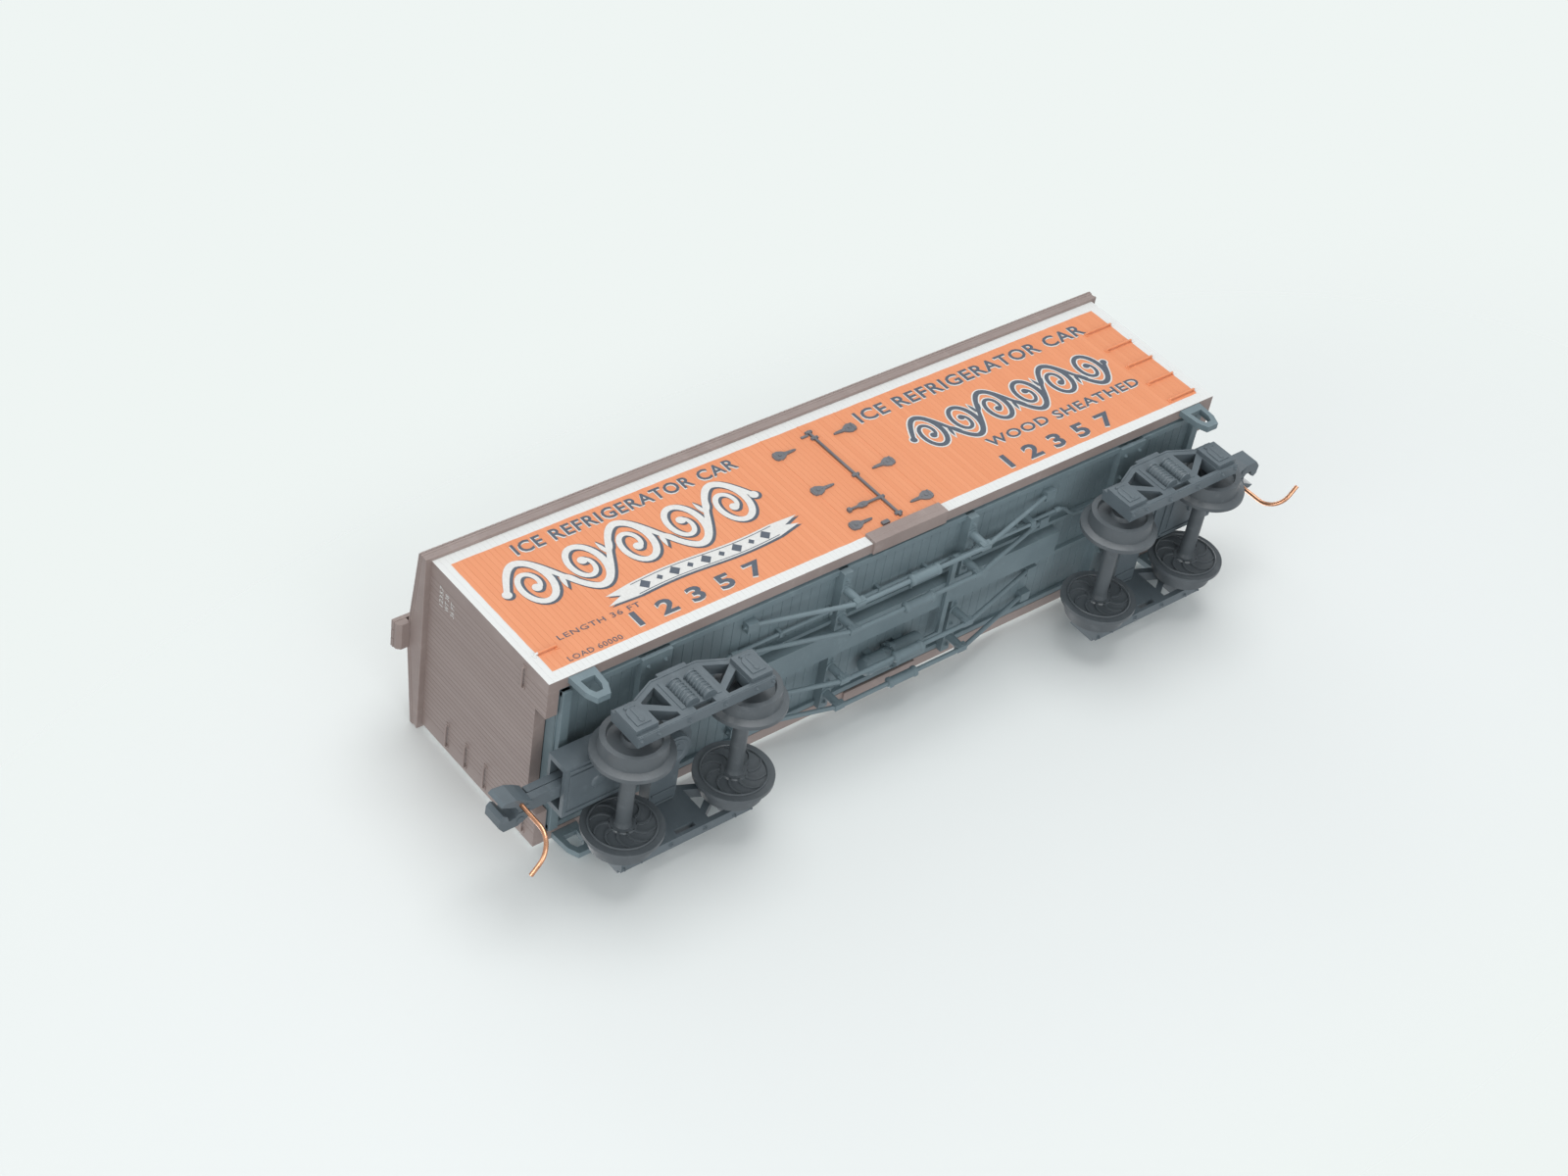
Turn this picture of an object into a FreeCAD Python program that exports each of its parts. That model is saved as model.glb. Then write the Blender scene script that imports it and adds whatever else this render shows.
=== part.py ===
import FreeCAD, Part
import math
import os
from types import SimpleNamespace

import Sketcher
from FreeCAD import Placement, Rotation, Vector

# A wood-sheathed ice refrigerator car in N scale (1:160) on arch-bar trucks.
# +X runs along the car, +Z is up, and z = 0 is the bottom of the wheel flanges.
# Each truck is drawn about its own centre with the coupler towards +X.

DIMENSIONS = {
    # body shell
    "body_length": 68.58,
    "body_width": 17.1,
    "side_height": 15.24,
    "shell_wall": 1.0,
    "sill_level": 8.2,
    "roof_fascia": 0.94,
    "ridge_rise": 1.07,
    "side_overhang": 0.31,
    "end_overhang": 0.54,
    "cavity_ceiling": 23.7,
    "end_notch_height": 1.28,
    "end_notch_margin": 3.5,
    # door and ladder relief moulded on the shell
    "relief": 0.2,
    "threshold_half": 3.81,
    "threshold_low": 8.0,
    "threshold_high": 9.25,
    "threshold_relief": 0.28,
    "hinge_reach": 3.95,
    "hinge_tip": 2.0,
    "strap_height": 0.55,
    "latch_rod_width": 0.3,
    "latch_rod_low": 9.7,
    "latch_rod_high": 21.4,
    "ladder_inner": 30.4,
    "ladder_outer": 33.4,
    "rung_height": 0.25,
    "rung_pitch": 2.6,
    "lowest_rung": 9.6,
    # running board, hatches and brake gear
    "board_overhang": 1.63,
    "board_width": 2.65,
    "board_top": 26.0,
    "board_thick": 0.35,
    "board_bracket_low": 25.05,
    "saddle_width": 0.5,
    "saddle_pitch": 5.6,
    "hatch_centre": 30.2,
    "hatch_half": 2.1,
    "hatch_near": 2.3,
    "hatch_far": 6.7,
    "hatch_frame": 0.42,
    "hatch_lid": 0.38,
    "hatch_lid_lip": 0.22,
    "staff_x": 35.2,
    "staff_y": 3.4,
    "staff_r": 0.18,
    "staff_low": 9.9,
    "staff_top": 26.75,
    "staff_guide_half": 0.32,
    "staff_guide_height": 0.4,
    "staff_guide_rise": 0.25,
    "brake_wheel_level": 26.45,
    "brake_wheel_r": 1.25,
    "brake_rim_r": 0.14,
    "brake_hub_r": 0.34,
    "brake_hub_height": 0.4,
    "brake_spoke_r": 0.09,
    "brake_step_level": 20.0,
    "brake_step_thick": 0.3,
    "brake_step_reach": 1.35,
    "brake_step_half": 1.6,
    "brake_step_play": 0.06,
    "knee_drop": 1.3,
    "knee_thick": 0.3,
    "knee_inset": 0.2,
    "knee_setback": 0.3,
    # underframe
    "floor_half_length": 33.2,
    "floor_half_width": 7.5,
    "floor_low": 8.45,
    "floor_high": 9.55,
    "weight_half_length": 29.0,
    "weight_half_width": 6.4,
    "weight_top": 11.0,
    "truck_centre": 24.765,
    "bolster_half": 1.4,
    "bolster_low": 7.75,
    "boss_r": 2.0,
    "boss_low": 7.3,
    "pin_bore_r": 0.88,
    "centre_sill_half": 1.3,
    "centre_sill_low": 7.35,
    "centre_sill_reach": 17.4,
    "needle_x": 6.6,
    "needle_half": 0.45,
    "needle_low": 7.5,
    "inner_rod_y": 2.7,
    "outer_rod_y": 5.6,
    "queen_post_r": 0.36,
    "rod_r": 0.2,
    "rod_low": 5.7,
    "rod_anchor_x": 15.6,
    "rod_anchor_level": 8.05,
    "beam_margin": 0.2,
    "anchor_half": 0.45,
    "anchor_half_length": 0.5,
    "anchor_low": 7.7,
    "turnbuckle_r": 0.4,
    "turnbuckle_half": 1.3,
    "cylinder_x": 1.2,
    "cylinder_y": 4.15,
    "cylinder_level": 7.15,
    "cylinder_r": 0.95,
    "reservoir_r": 0.78,
    "cylinder_half": 1.5,
    "cylinder_lip": 0.14,
    "cylinder_lip_start": 0.2,
    "cylinder_lip_thick": 0.35,
    "cylinder_saddle_half": 0.5,
    "reservoir_reach": 4.4,
    "reservoir_saddle_x": 3.25,
    "reservoir_saddle_half": 0.35,
    "reservoir_saddle_half_width": 0.4,
    "saddle_bite": 0.5,
    "rigging_r": 0.15,
    "push_rod_length": 2.3,
    "lever_gap": 2.2,
    "lever_half_width": 0.25,
    "lever_half_thick": 0.16,
    "lever_end_y": 4.3,
    "lever_overlap": 0.5,
    "pull_rod_y": 4.0,
    "pull_rod_length": 8.6,
    "hanger_start": 8.2,
    "hanger_length": 0.5,
    "hanger_half": 0.25,
    "hanger_drop": 0.2,
    "step_x": 31.45,
    "step_y": 8.2,
    "step_half": 1.15,
    "step_drop": 2.85,
    "step_thick": 0.55,
    "step_shoulder": 1.9,
    "step_taper": 0.15,
    "step_hole_high": 0.75,
    "step_hole_high_half": 0.62,
    "step_hole_middle": 1.75,
    "step_hole_middle_half": 0.55,
    "step_hole_low": 2.25,
    "step_hole_low_half": 0.3,
    # trucks
    "rail_top": 0.6,
    "tread_r": 2.62,
    "half_wheelbase": 5.24,
    "wheel_back": 3.8,
    "flange_face": 4.15,
    "tread_start": 4.35,
    "wheel_face": 5.55,
    "tread_cone": 0.05,
    "tread_chamfer": 0.04,
    "dish_outer_r": 2.12,
    "dish_inner_r": 1.02,
    "dish_depth": 0.35,
    "dish_draft": 0.1,
    "hub_r": 0.88,
    "hub_rise": 0.05,
    "axle_r": 0.62,
    "journal_r": 0.5,
    "journal_end": 6.2,
    "axle_tip": 6.87,
    "axle_tip_r": 0.06,
    "socket_r": 0.56,
    "socket_tip": 6.92,
    "socket_tip_r": 0.12,
    "frame_inner": 6.15,
    "frame_outer": 7.1,
    "journal_box_outer": 7.5,
    "journal_box_half": 1.0,
    "journal_box_low": 1.95,
    "journal_box_high": 4.55,
    "frame_end": 6.25,
    "frame_foot": 1.55,
    "frame_shoulder": 4.95,
    "arch_start": 4.3,
    "arch_crown": 5.95,
    "column_half": 2.1,
    "window_inner": 2.2,
    "upper_window_outer": 4.1,
    "upper_window_tip": 4.42,
    "upper_window_top": 5.3,
    "upper_window_low": 3.05,
    "lower_window_outer": 4.15,
    "lower_window_top": 3.72,
    "lower_window_step": 2.4,
    "lower_window_low": 2.0,
    "plank_window_half": 0.9,
    "plank_window_low": 1.85,
    "plank_window_high": 2.3,
    "coil_low": 2.45,
    "coil_high": 4.9,
    "socket_overlap": 0.1,
    "truck_bolster_half": 1.3,
    "truck_bolster_low": 5.1,
    "truck_bolster_high": 6.3,
    "truck_boss_r": 2.1,
    "truck_boss_high": 7.2,
    "truck_bore_r": 0.97,
    "pin_r": 0.9,
    "pin_head_r": 1.5,
    "pin_head_low": 4.4,
    "pin_head_high": 5.0,
    "coil_r": 0.52,
    # coupler and its box
    "box_rear": 2.2,
    "box_inner_rear": 4.1,
    "box_front": 9.6,
    "box_half": 2.5,
    "box_wall": 0.5,
    "box_floor_high": 5.5,
    "box_wall_high": 7.0,
    "lid_high": 7.3,
    "lid_gap": 0.05,
    "post_x": 6.6,
    "post_r": 0.5,
    "post_hole_r": 0.56,
    "jaw_shank_low": 5.56,
    "jaw_shank_high": 6.2,
    "knuckle_shank_low": 6.26,
    "knuckle_shank_high": 6.9,
    "head_low": 5.3,
    "head_high": 7.1,
    "slot_rear": 5.0,
    "shank_rear": 4.4,
    "shank_half": 0.62,
    "tail_half": 1.1,
    "tail_end": 7.2,
    "neck_start": 8.2,
    "jaw_shank_front": 12.3,
    "knuckle_shank_front": 12.1,
    "arm_rear": 12.2,
    "arm_inner": 0.05,
    "arm_elbow": 13.45,
    "arm_elbow_rise": 0.35,
    "arm_throat": 13.7,
    "arm_throat_y": 0.75,
    "arm_flare": 14.35,
    "arm_flare_y": 1.05,
    "arm_tip": 15.0,
    "arm_tip_y": 1.4,
    "arm_nose": 14.7,
    "arm_nose_y": 1.62,
    "arm_back_y": 1.5,
    "arm_shoulder": 12.9,
    "arm_shoulder_y": 1.1,
    "arm_rear_y": 0.62,
    "neck_end": 12.6,
    "hook_rear": 12.45,
    "hook_heel": 13.4,
    "hook_throat": 13.6,
    "hook_throat_y": 0.32,
    "hook_bend": 14.2,
    "hook_bend_y": 0.42,
    "hook_inside": 14.4,
    "hook_inside_y": 0.15,
    "hook_point": 14.75,
    "hook_point_y": 0.38,
    "hook_lip": 15.05,
    "hook_lip_y": 0.1,
    "hook_face": 15.1,
    "hook_face_y": 0.7,
    "hook_toe": 14.65,
    "hook_outer_y": 1.3,
    "hook_rear_y": 0.75,
    "spring_pitch": 0.2,
    "spring_length": 0.78,
    "spring_mean_r": 0.23,
    "spring_wire_r": 0.06,
    "spring_gap": 0.1,
    "trip_x": 13.25,
    "trip_y": 0.8,
    "trip_r": 0.18,
    "trip_squeeze": 0.01,
    "trip_bend_r": 2.0,
    "trip_bottom": 1.0,
    "trip_tip": 1.0,
}

SIDES = (-1, 1)
HINGE_LEVELS = (20.2, 15.3, 10.55)
RUNGS = 5
SADDLES = 11
SPOKES = 5
COIL_SPREAD = 1.5
TRIP_HEADING = math.radians(-50)

doc = FreeCAD.newDocument("BoxCar")
sheet = doc.addObject("Spreadsheet::Sheet", "Dims")
for row, (alias, number) in enumerate(DIMENSIONS.items(), start=1):
    sheet.set(f"A{row}", alias)
    sheet.set(f"B{row}", f"{number:g}")
    sheet.setAlias(f"B{row}", alias)
doc.recompute()


class Size:
    """A length together with the sheet expression that gives it."""

    def __init__(self, value, text):
        self.value = value
        self.text = text

    def __add__(self, other):
        other = size(other)
        return Size(self.value + other.value, f"({self.text} + {other.text})")

    def __sub__(self, other):
        other = size(other)
        return Size(self.value - other.value, f"({self.text} - {other.text})")

    def __mul__(self, factor):
        return Size(self.value * factor, f"({self.text} * ({factor:g}))")

    def __truediv__(self, factor):
        return self * (1 / factor)

    def __neg__(self):
        return self * -1

    def __radd__(self, other):
        return size(other) + self

    def __rsub__(self, other):
        return size(other) - self

    __rmul__ = __mul__


def size(number):
    """A plain number as a Size."""
    return number if isinstance(number, Size) else Size(number, f"({number:g})")


dims = SimpleNamespace(**{name: Size(value, f"Dims.{name}") for name, value in DIMENSIONS.items()})


def put(item, x=0, y=0, z=0, turn=0):
    """Place an item at a point, turned about Z, with the point bound to the sheet."""
    item.Placement = Placement(Vector(), Rotation(Vector(0, 0, 1), turn))
    for axis, distance in zip("xyz", (x, y, z)):
        item.setExpression(f"Placement.Base.{axis}", size(distance).text)
    return item


# ---- Part primitives --------------------------------------------------------

def block(name, low, high):
    """A box between two corners."""
    item = doc.addObject("Part::Box", name)
    for side, axis, start, end in zip(("Length", "Width", "Height"), "xyz", low, high):
        item.setExpression(side, (size(end) - start).text)
        item.setExpression(f"Placement.Base.{axis}", size(start).text)
    return item


AXIS_TURNS = {
    "x": Rotation(Vector(0, 1, 0), 90),
    "y": Rotation(Vector(1, 0, 0), -90),
    "z": Rotation(),
}


def rod(name, axis, radius, start, length):
    """A cylinder from a point along a main axis."""
    item = doc.addObject("Part::Cylinder", name)
    item.setExpression("Radius", size(radius).text)
    item.setExpression("Height", size(length).text)
    item.Placement = Placement(Vector(), AXIS_TURNS[axis])
    for letter, distance in zip("xyz", start):
        item.setExpression(f"Placement.Base.{letter}", size(distance).text)
    return item


def slanted_rod(name, radius, start, end):
    """A cylinder between two points, with a ball at its far end to round the bend."""
    run = Vector(*(size(b).value - size(a).value for a, b in zip(start, end)))
    item = doc.addObject("Part::Cylinder", name)
    item.setExpression("Radius", size(radius).text)
    item.Height = run.Length
    item.Placement = Placement(Vector(), Rotation(Vector(0, 0, 1), run))
    ball = doc.addObject("Part::Sphere", name + "_bend")
    ball.setExpression("Radius", size(radius).text)
    for letter, near, far in zip("xyz", start, end):
        item.setExpression(f"Placement.Base.{letter}", size(near).text)
        ball.setExpression(f"Placement.Base.{letter}", size(far).text)
    return [item, ball]


def fuse(name, items):
    """One solid made of several."""
    joined = doc.addObject("Part::MultiFuse", name)
    joined.Shapes = items
    joined.Refine = True
    return joined


# ---- PartDesign helpers -----------------------------------------------------

def new_body(name):
    return doc.addObject("PartDesign::Body", name)


def pin_point(sketch, line, point):
    """Fix the start of a sketch line at a point, with both coordinates bound to the sheet."""
    for kind, axis, distance in zip(("DistanceX", "DistanceY"), (-2, -1), point):
        distance = size(distance)
        if abs(distance.value) < 1e-9:
            sketch.addConstraint(Sketcher.Constraint("PointOnObject", line, 1, axis))
        else:
            index = sketch.addConstraint(
                Sketcher.Constraint(kind, -1, 1, line, 1, distance.value))
            sketch.setExpression(f"Constraints[{index}]", distance.text)


def add_polygon(sketch, points):
    places = [Vector(size(a).value, size(b).value, 0) for a, b in points]
    first = sketch.GeometryCount
    for start, end in zip(places, places[1:] + places[:1]):
        sketch.addGeometry(Part.LineSegment(start, end), False)
    count = len(places)
    for step in range(count):
        following = first + (step + 1) % count
        sketch.addConstraint(Sketcher.Constraint("Coincident", first + step, 2, following, 1))
        pin_point(sketch, first + step, points[step])


def add_circle(sketch, centre, radius):
    x, y = (size(part) for part in centre)
    circle = Part.Circle(Vector(x.value, y.value, 0), Vector(0, 0, 1), size(radius).value)
    index = sketch.addGeometry(circle, False)
    limit = sketch.addConstraint(Sketcher.Constraint("Radius", index, size(radius).value))
    sketch.setExpression(f"Constraints[{limit}]", size(radius).text)
    for kind, axis, distance in zip(("DistanceX", "DistanceY"), (-2, -1), (x, y)):
        if abs(distance.value) < 1e-9:
            sketch.addConstraint(Sketcher.Constraint("PointOnObject", index, 3, axis))
        else:
            place = sketch.addConstraint(
                Sketcher.Constraint(kind, -1, 1, index, 3, distance.value))
            sketch.setExpression(f"Constraints[{place}]", distance.text)


def new_sketch(body, plane, outlines, offset):
    """A sketch on one of the body's origin planes, moved by an offset (x, y, normal)."""
    sketch = body.newObject("Sketcher::SketchObject", "Outline")
    support = next(item for item in body.Origin.OriginFeatures if item.Role == plane)
    sketch.AttachmentSupport = [(support, "")]
    sketch.MapMode = "FlatFace"
    for axis, distance in zip("xyz", offset):
        sketch.setExpression(f"AttachmentOffset.Base.{axis}", size(distance).text)
    for outline in outlines:
        if len(outline) == 2:
            add_circle(sketch, *outline)
        else:
            add_polygon(sketch, outline)
    return sketch


def pad(body, plane, outlines, low, high):
    """Add material between two levels along the plane's world axis."""
    start = -size(high) if plane == "XZ_Plane" else size(low)
    sketch = new_sketch(body, plane, outlines, (0, 0, start))
    feature = body.newObject("PartDesign::Pad", "Pad")
    feature.Profile = sketch
    feature.setExpression("Length", (size(high) - low).text)
    body.Tip = feature
    return feature


def pocket(body, plane, outlines, low, high):
    """Remove material between two levels along the plane's world axis."""
    doc.recompute()
    before = body.Shape.Volume
    start = -size(low) if plane == "XZ_Plane" else size(high)
    sketch = new_sketch(body, plane, outlines, (0, 0, start))
    feature = body.newObject("PartDesign::Pocket", "Pocket")
    feature.Profile = sketch
    feature.setExpression("Length", (size(high) - low).text)
    body.Tip = feature
    doc.recompute()
    if body.Shape.Volume >= before - 1e-6:
        raise ValueError(f"a pocket in {body.Name} cuts nothing")
    return feature


def rectangle(x_low, x_high, y_low, y_high):
    return [(x_low, y_low), (x_high, y_low), (x_high, y_high), (x_low, y_high)]


def mirrored_x(outline):
    return [(-size(x), y) for x, y in outline]


# ---- body shell -------------------------------------------------------------

half_length = dims.body_length / 2
half_width = dims.body_width / 2
eave_low = dims.sill_level + dims.side_height
eave_high = eave_low + dims.roof_fascia
ridge = eave_high + dims.ridge_rise
roof_half = half_width + dims.side_overhang
roof_slope = (ridge.value - eave_high.value) / roof_half.value


def roof_level(distance):
    """The roof's height at a distance from the ridge."""
    return ridge - size(distance) * roof_slope


def door_relief():
    """Outlines in X and Z of the hardware of the two swing doors, seen from outside."""
    strap = dims.strap_height / 2
    outlines = []
    for level in HINGE_LEVELS:
        for side in SIDES:
            outer = dims.hinge_reach * side
            inner = dims.hinge_tip * side
            outlines.append(rectangle(outer, inner, level - strap, level + strap))
    latch = dims.latch_rod_width / 2
    outlines.append(rectangle(-latch, latch, dims.latch_rod_low, dims.latch_rod_high))
    return outlines


def ladder_relief(side):
    outlines = []
    for rung in range(RUNGS):
        low = dims.lowest_rung + dims.rung_pitch * rung
        outlines.append(rectangle(dims.ladder_inner * side, dims.ladder_outer * side,
                                  low, low + dims.rung_height))
    return outlines


def make_body_shell():
    """Sides, ends and roof in one moulding, open underneath."""
    body = new_body("body_shell")
    walls = rectangle(-half_length, half_length, -half_width, half_width)
    pad(body, "XY_Plane", [walls], dims.sill_level, eave_low)
    gable = [(-roof_half, eave_low), (roof_half, eave_low), (roof_half, eave_high),
             (0, ridge), (-roof_half, eave_high)]
    roof_end = half_length + dims.end_overhang
    pad(body, "YZ_Plane", [gable], -roof_end, roof_end)
    cavity = rectangle(-half_length + dims.shell_wall, half_length - dims.shell_wall,
                       -half_width + dims.shell_wall, half_width - dims.shell_wall)
    pocket(body, "XY_Plane", [cavity], dims.sill_level, dims.cavity_ceiling)
    notch_half = half_width - dims.end_notch_margin
    notch = rectangle(-notch_half, notch_half, dims.sill_level,
                      dims.sill_level + dims.end_notch_height)
    pocket(body, "YZ_Plane", [notch], -half_length, half_length)
    for side in SIDES:
        low, high = sorted((half_width * side, (half_width + dims.relief) * side),
                           key=lambda item: item.value)
        pad(body, "XZ_Plane", door_relief() + ladder_relief(-side), low, high)
        low, high = sorted(((half_width - dims.shell_wall) * side,
                            (half_width + dims.threshold_relief) * side),
                           key=lambda item: item.value)
        threshold = rectangle(-dims.threshold_half, dims.threshold_half,
                              dims.threshold_low, dims.threshold_high)
        pad(body, "XZ_Plane", [threshold], low, high)
    return body


# ---- roof and end fittings --------------------------------------------------

def make_running_board():
    """The walkway along the ridge, on saddles, with a bracket past each end of the roof."""
    body = new_body("running_board")
    reach = half_length + dims.board_overhang
    half = dims.board_width / 2
    under = dims.board_top - dims.board_thick
    pad(body, "XY_Plane", [rectangle(-reach, reach, -half, half)], under, dims.board_top)
    saddle = [(-half, roof_level(half)), (0, ridge), (half, roof_level(half)),
              (half, under), (-half, under)]
    for place in range(SADDLES):
        centre = dims.saddle_pitch * (place - (SADDLES - 1) / 2)
        pad(body, "YZ_Plane", [saddle], centre - dims.saddle_width / 2,
            centre + dims.saddle_width / 2)
    bracket = rectangle(-half, half, dims.board_bracket_low, under)
    roof_end = half_length + dims.end_overhang
    pad(body, "YZ_Plane", [bracket], roof_end, reach)
    pad(body, "YZ_Plane", [bracket], -reach, -roof_end)
    return body


def make_ice_hatch(name, end, side):
    """A hatch frame on the sloping roof with its overlapping lid."""
    body = new_body(name)
    near = dims.hatch_near
    far = dims.hatch_far
    lip = dims.hatch_lid_lip

    def band(inner, outer, low, high):
        points = [(inner, roof_level(inner) + low), (outer, roof_level(outer) + low),
                  (outer, roof_level(outer) + high), (inner, roof_level(inner) + high)]
        return [(size(y) * side, z) for y, z in points]

    half = dims.hatch_half
    pad(body, "YZ_Plane", [band(near, far, 0, dims.hatch_frame)], -half, half)
    lid = band(near - lip, far + lip, dims.hatch_frame, dims.hatch_frame + dims.hatch_lid)
    pad(body, "YZ_Plane", [lid], -half - lip, half + lip)
    return put(body, x=dims.hatch_centre * end)


def make_brake_staff():
    """The upright brake staff with the foot and guide that hold it to the end."""
    x, y = dims.staff_x, -dims.staff_y
    staff = rod("staff_bar", "z", dims.staff_r, (x, y, dims.staff_low),
                dims.staff_top - dims.staff_low)
    parts = [staff]
    half = dims.staff_guide_half
    levels = ((dims.staff_low, half_length),
              (eave_low + dims.staff_guide_rise, half_length + dims.end_overhang))
    for index, (level, wall) in enumerate(levels):
        parts.append(block(f"staff_guide_{index}", (wall, y - half, level),
                           (x + half, y + half, level + dims.staff_guide_height)))
    return fuse("brake_staff", parts)


def make_brake_wheel():
    """A spoked wheel lying flat on top of its staff."""
    parts = []
    rim = doc.addObject("Part::Torus", "brake_rim")
    rim.setExpression("Radius1", dims.brake_wheel_r.text)
    rim.setExpression("Radius2", dims.brake_rim_r.text)
    parts.append(rim)
    height = dims.brake_hub_height
    hub = rod("brake_hub", "z", dims.brake_hub_r, (0, 0, -height / 2), height)
    parts.append(hub)
    for index in range(SPOKES):
        angle = 360 / SPOKES * index
        spoke = doc.addObject("Part::Cylinder", f"brake_spoke_{index}")
        spoke.setExpression("Radius", dims.brake_spoke_r.text)
        spoke.setExpression("Height", dims.brake_wheel_r.text)
        spoke.Placement = Placement(Vector(), Rotation(Vector(0, 0, 1), angle)
                                    * Rotation(Vector(0, 1, 0), 90))
        parts.append(spoke)
    solid = fuse("brake_wheel_solid", parts)
    bore = rod("brake_bore", "z", dims.staff_r, (0, 0, -height), height * 2)
    wheel = doc.addObject("Part::Cut", "brake_wheel")
    wheel.Base = solid
    wheel.Tool = bore
    return put(wheel, dims.staff_x, -dims.staff_y, dims.brake_wheel_level)


def make_brake_step():
    """The small platform that a brakeman stands on, with two brackets under it."""
    y = -dims.staff_y
    low = dims.brake_step_level
    wall = half_length
    out = wall + dims.brake_step_reach
    half = dims.brake_step_half
    body = new_body("brake_step")
    top = low + dims.brake_step_thick
    pad(body, "XY_Plane", [rectangle(wall, out, y - half, y + half)], low, top)
    knee = [(wall, low), (out - dims.knee_setback, low), (wall, low - dims.knee_drop)]
    thick = dims.knee_thick
    for offset in (-half + dims.knee_inset, half - dims.knee_inset - thick):
        pad(body, "XZ_Plane", [knee], y + offset, y + offset + thick)
    bore = ((dims.staff_x, y), dims.staff_r + dims.brake_step_play)
    pocket(body, "XY_Plane", [bore], low, top)
    return body


def make_stirrup_step(name, end, side):
    """A tapering loop that hangs under the side sill for a boot."""
    body = new_body(name)
    half = dims.step_half
    shoulder = half - dims.step_taper
    outline = [(-half, 0), (half, 0), (shoulder, -dims.step_shoulder),
               (half / 2, -dims.step_drop), (-half / 2, -dims.step_drop),
               (-shoulder, -dims.step_shoulder)]
    right = [(dims.step_hole_high_half, -dims.step_hole_high),
             (dims.step_hole_middle_half, -dims.step_hole_middle),
             (dims.step_hole_low_half, -dims.step_hole_low)]
    hole = right + mirrored_x(reversed(right))
    thick = dims.step_thick / 2
    pad(body, "XZ_Plane", [outline], -thick, thick)
    pocket(body, "XZ_Plane", [hole], -thick, thick)
    return put(body, dims.step_x * end, dims.step_y * side, dims.sill_level)


# ---- underframe -------------------------------------------------------------

def make_underframe():
    """Floor, centre sill, body bolsters, needle beams and queen posts in one moulding."""
    body = new_body("underframe")
    floor = rectangle(-dims.floor_half_length, dims.floor_half_length,
                      -dims.floor_half_width, dims.floor_half_width)
    pad(body, "XY_Plane", [floor], dims.floor_low, dims.floor_high)
    sill = rectangle(-dims.centre_sill_reach, dims.centre_sill_reach,
                     -dims.centre_sill_half, dims.centre_sill_half)
    pad(body, "XY_Plane", [sill], dims.centre_sill_low, dims.floor_low)
    bolsters = []
    bosses = []
    bores = []
    beams = []
    posts = []
    anchors = []
    rows = (-dims.outer_rod_y, -dims.inner_rod_y, dims.inner_rod_y, dims.outer_rod_y)
    reach = dims.floor_half_width - dims.beam_margin
    anchor_half = dims.anchor_half_length
    for end in SIDES:
        centre = dims.truck_centre * end
        bolsters.append(rectangle(centre - dims.bolster_half, centre + dims.bolster_half,
                                  -reach, reach))
        bosses.append(((centre, 0), dims.boss_r))
        bores.append(((centre, 0), dims.pin_bore_r))
        beam = dims.needle_x * end
        beams.append(rectangle(beam - dims.needle_half, beam + dims.needle_half, -reach, reach))
        anchor = dims.rod_anchor_x * end
        for y in rows:
            posts.append(((beam, y), dims.queen_post_r))
            anchors.append(rectangle(anchor - anchor_half, anchor + anchor_half,
                                     y - dims.anchor_half, y + dims.anchor_half))
    pad(body, "XY_Plane", bolsters, dims.bolster_low, dims.floor_low)
    pad(body, "XY_Plane", bosses, dims.boss_low, dims.floor_low)
    pad(body, "XY_Plane", beams, dims.needle_low, dims.floor_low)
    pad(body, "XY_Plane", posts, dims.rod_low, dims.needle_low)
    pad(body, "XY_Plane", anchors, dims.anchor_low, dims.floor_low)
    pocket(body, "XY_Plane", bores, dims.boss_low, dims.floor_high)
    return body


def make_floor_weight():
    """The steel plate that lies on the floor inside the shell."""
    length = dims.weight_half_length
    width = dims.weight_half_width
    return block("floor_weight", (-length, -width, dims.floor_high),
                 (length, width, dims.weight_top))


def make_truss_rod(name, y):
    """A rod from floor to floor that dips under both needle beams, with a turnbuckle."""
    radius = dims.rod_r
    low = dims.rod_low
    x = dims.needle_x
    anchor = dims.rod_anchor_x
    high = dims.rod_anchor_level
    parts = [rod(name + "_run", "x", radius, (-x, y, low), x * 2)]
    for end, word in zip(SIDES, ("left", "right")):
        parts += slanted_rod(f"{name}_{word}", radius, (anchor * end, y, high), (x * end, y, low))
    parts.append(rod(name + "_turnbuckle", "x", dims.turnbuckle_r,
                     (-dims.turnbuckle_half, y, low), dims.turnbuckle_half * 2))
    return fuse(name, parts)


def make_brake_cylinder():
    """The air brake cylinder with the smaller reservoir on its back."""
    x, y, z = dims.cylinder_x, dims.cylinder_y, dims.cylinder_level
    half = dims.cylinder_half
    saddle = dims.cylinder_saddle_half
    back = x - dims.reservoir_saddle_x
    back_half = dims.reservoir_saddle_half
    back_width = dims.reservoir_saddle_half_width
    top = z + dims.saddle_bite
    parts = [
        rod("cylinder_barrel", "x", dims.cylinder_r, (x - half, y, z), half * 2),
        rod("reservoir_barrel", "x", dims.reservoir_r, (x - dims.reservoir_reach, y, z),
            dims.reservoir_reach - half),
        rod("cylinder_flange", "x", dims.cylinder_r + dims.cylinder_lip,
            (x - half - dims.cylinder_lip_start, y, z), dims.cylinder_lip_thick),
        block("cylinder_saddle", (x - saddle, y - saddle, top),
              (x + saddle, y + saddle, dims.floor_low)),
        block("reservoir_saddle", (back - back_half, y - back_width, top),
              (back + back_half, y + back_width, dims.floor_low)),
    ]
    return fuse("brake_cylinder", parts)


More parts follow.
